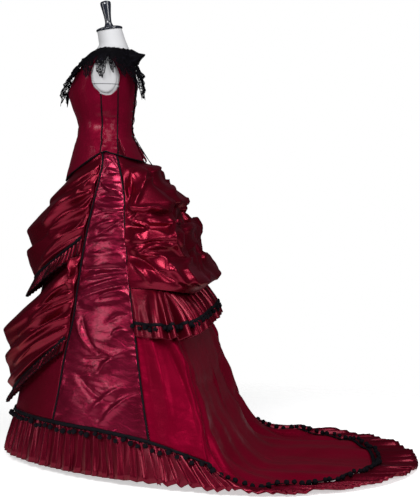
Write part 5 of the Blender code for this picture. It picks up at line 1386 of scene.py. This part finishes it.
body = []
body_angles = np.linspace(0, 360, 80, endpoint=False)
s, c = np.sin(np.radians(body_angles)), np.cos(np.radians(body_angles))
for z, half, front, back, centre in FORM_HIPS:
    body.append(np.stack([half * s, centre - np.where(c > 0, centre - front, back - centre) * c, z + 0 * s], 1))
for height, inset in ((0.0, 0.0125), (0.04, 0.0062), (0.09, 0.0062), (0.138, 0.0062), (0.18, 0.0062), (0.22, 0.0062),
                      (0.25, 0.0056), (0.268, 0.0046), (0.282, 0.0042), (0.296, 0.0040)):
    body.append(np.array([bodice_point(a, height) - bodice_out(a, max(height, 0.01)) * inset for a in body_angles]))
for k, (z, half, front, back, centre) in enumerate(FORM_NECK):
    y = centre - np.where(c > 0, centre - front, back - centre) * c
    body.append(np.stack([half * s, y, z + math.tan(NECK_TILT) * k / 2 * (y - centre)], 1))
body = np.array(body)
body = refine(np.concatenate([body, body[:, :1]], 1), 90, 81)[:, :-1]
closed_rings("form_body", body, JERSEY.material, "form_torso")
turned("neck_cap", [(0.0425, 0.0), (0.0440, 0.003), (0.0430, 0.007), (0.0330, 0.011), (0.0150, 0.0135)], 24, 64, CAP,
       "neck_cap", NECK_TOP, NECK_TILT)
turned("neck_finial", [(0.0160, 0.0138), (0.0122, 0.022), (0.0110, 0.032), (0.0126, 0.052), (0.0160, 0.075),
                       (0.0178, 0.088), (0.0158, 0.0955), (0.0080, 0.0985)], 40, 48, CAP,
       "finial", NECK_TOP, NECK_TILT)
turned("stand_socket", [(0.026, 0.764), (0.0315, 0.7645), (0.032, 0.766), (0.032, 0.796), (0.0375, 0.7985),
                        (0.038, 0.7997)], 0, 48, STEEL, "socket")
turned("stand_pole", [(0.0125, 0.0305), (0.0125, 0.7637)], 0, 48, STEEL, "pole")
turned("stand_base", [(0.165, 0.0), (0.170, 0.003), (0.168, 0.009), (0.120, 0.019), (0.028, 0.025), (0.022, 0.0302)],
       40, 96, STEEL, "base")
for hand, sign in HANDS:
    turns = np.linspace(0, 2 * math.pi, 49)[:-1]
    rings = []
    for rise, shares in ((0.0038, (0.02, 0.3, 0.6, 0.85, 1.0)), (0.0068, (1.0, 0.85, 0.6, 0.3, 0.02))):
        for share in shares:
            ring = [bodice_ring(ARM_Z + (ARM_HALF - 0.009) * share * math.sin(a),
                                ARM_ANGLE + (ARM_SPAN - 4.0) * share * math.cos(a), 0.0062) + (rise, 0, 0)
                    for a in turns]
            rings.append((np.array(ring) * (sign, 1, 1))[::sign])
    closed_rings(f"arm_plate_{hand}", rings, JERSEY.material, f"form_arm_plate_{hand}")

# Studio: a white floor, one large soft light high on the wearer's left, weak ones before and behind the gown
sweep = bpy.data.meshes.new("studio_floor")
sweep.from_pydata([(-6, -6, 0), (6, -6, 0), (6, 6, 0), (-6, 6, 0)], [], [(0, 1, 2, 3)])
PAPER = Finish("studio_paper", (0.90, 0.90, 0.905), 0.85, Emission_Color=(1.0, 1.0, 1.0, 1.0), Emission_Strength=0.55)
PAPER.feed("Base Color", PAPER.mix(PAPER.speckle(3.0, 2.0), (0.88, 0.88, 0.885), (0.92, 0.92, 0.925)))
reach = PAPER.node("ShaderNodeMapping", Vector=PAPER.node("ShaderNodeTexCoord", out=3), Location=(-0.07, -0.19, 0.0),
                   Scale=(0.55, 0.55, 0.55))
reach = PAPER.node("ShaderNodeTexGradient", {"gradient_type": "SPHERICAL"}, Vector=reach)
PAPER.feed("Alpha", PAPER.clamped(reach * 3.2 - 0.4))
sweep.materials.append(PAPER.material)
linked("studio_floor", sweep)


def soft_light(name, place, target, size, watts):
    data = bpy.data.lights.new(name, "AREA")
    data.shape = "RECTANGLE"
    data.size, data.size_y = size
    data.energy = watts
    light = linked(name, data)
    light.location = place
    way = np.subtract(target, place)
    light.rotation_euler = (math.atan2(math.hypot(way[0], way[1]), -way[2]), 0, math.atan2(-way[0], way[1]))


soft_light("key", (2.7, -0.35, 2.25), (0.1, 0.15, 0.7), (1.5, 1.0), 77)
soft_light("front_fill", (1.9, -2.8, 1.5), (0, 0, 0.9), (0.5, 2.0), 27)
soft_light("top", (0.9, 1.4, 3.0), (0.1, 0.5, 0.4), (1.4, 1.4), 40)
soft_light("train_fill", (2.3, 3.1, 1.7), (0, 0.6, 0.3), (1.4, 1.4), 54)
bpy.context.scene.view_settings.view_transform = "Standard"
world = bpy.data.worlds.new("studio")
bpy.context.scene.world = world
world.use_nodes = True
sky = world.node_tree
paths = sky.nodes.new("ShaderNodeLightPath")
choose = sky.nodes.new("ShaderNodeMixShader")
sky.links.new(paths.outputs["Is Camera Ray"], choose.inputs[0])
for slot, colour, strength in ((1, (0.85, 0.86, 0.88, 1), 0.07), (2, (1, 1, 1, 1), 1.0)):     # other rays, the camera's
    glow = sky.nodes.new("ShaderNodeBackground")
    glow.inputs["Color"].default_value, glow.inputs["Strength"].default_value = colour, strength
    sky.links.new(glow.outputs[0], choose.inputs[slot])
sky.links.new(choose.outputs[0], sky.nodes["World Output"].inputs["Surface"])
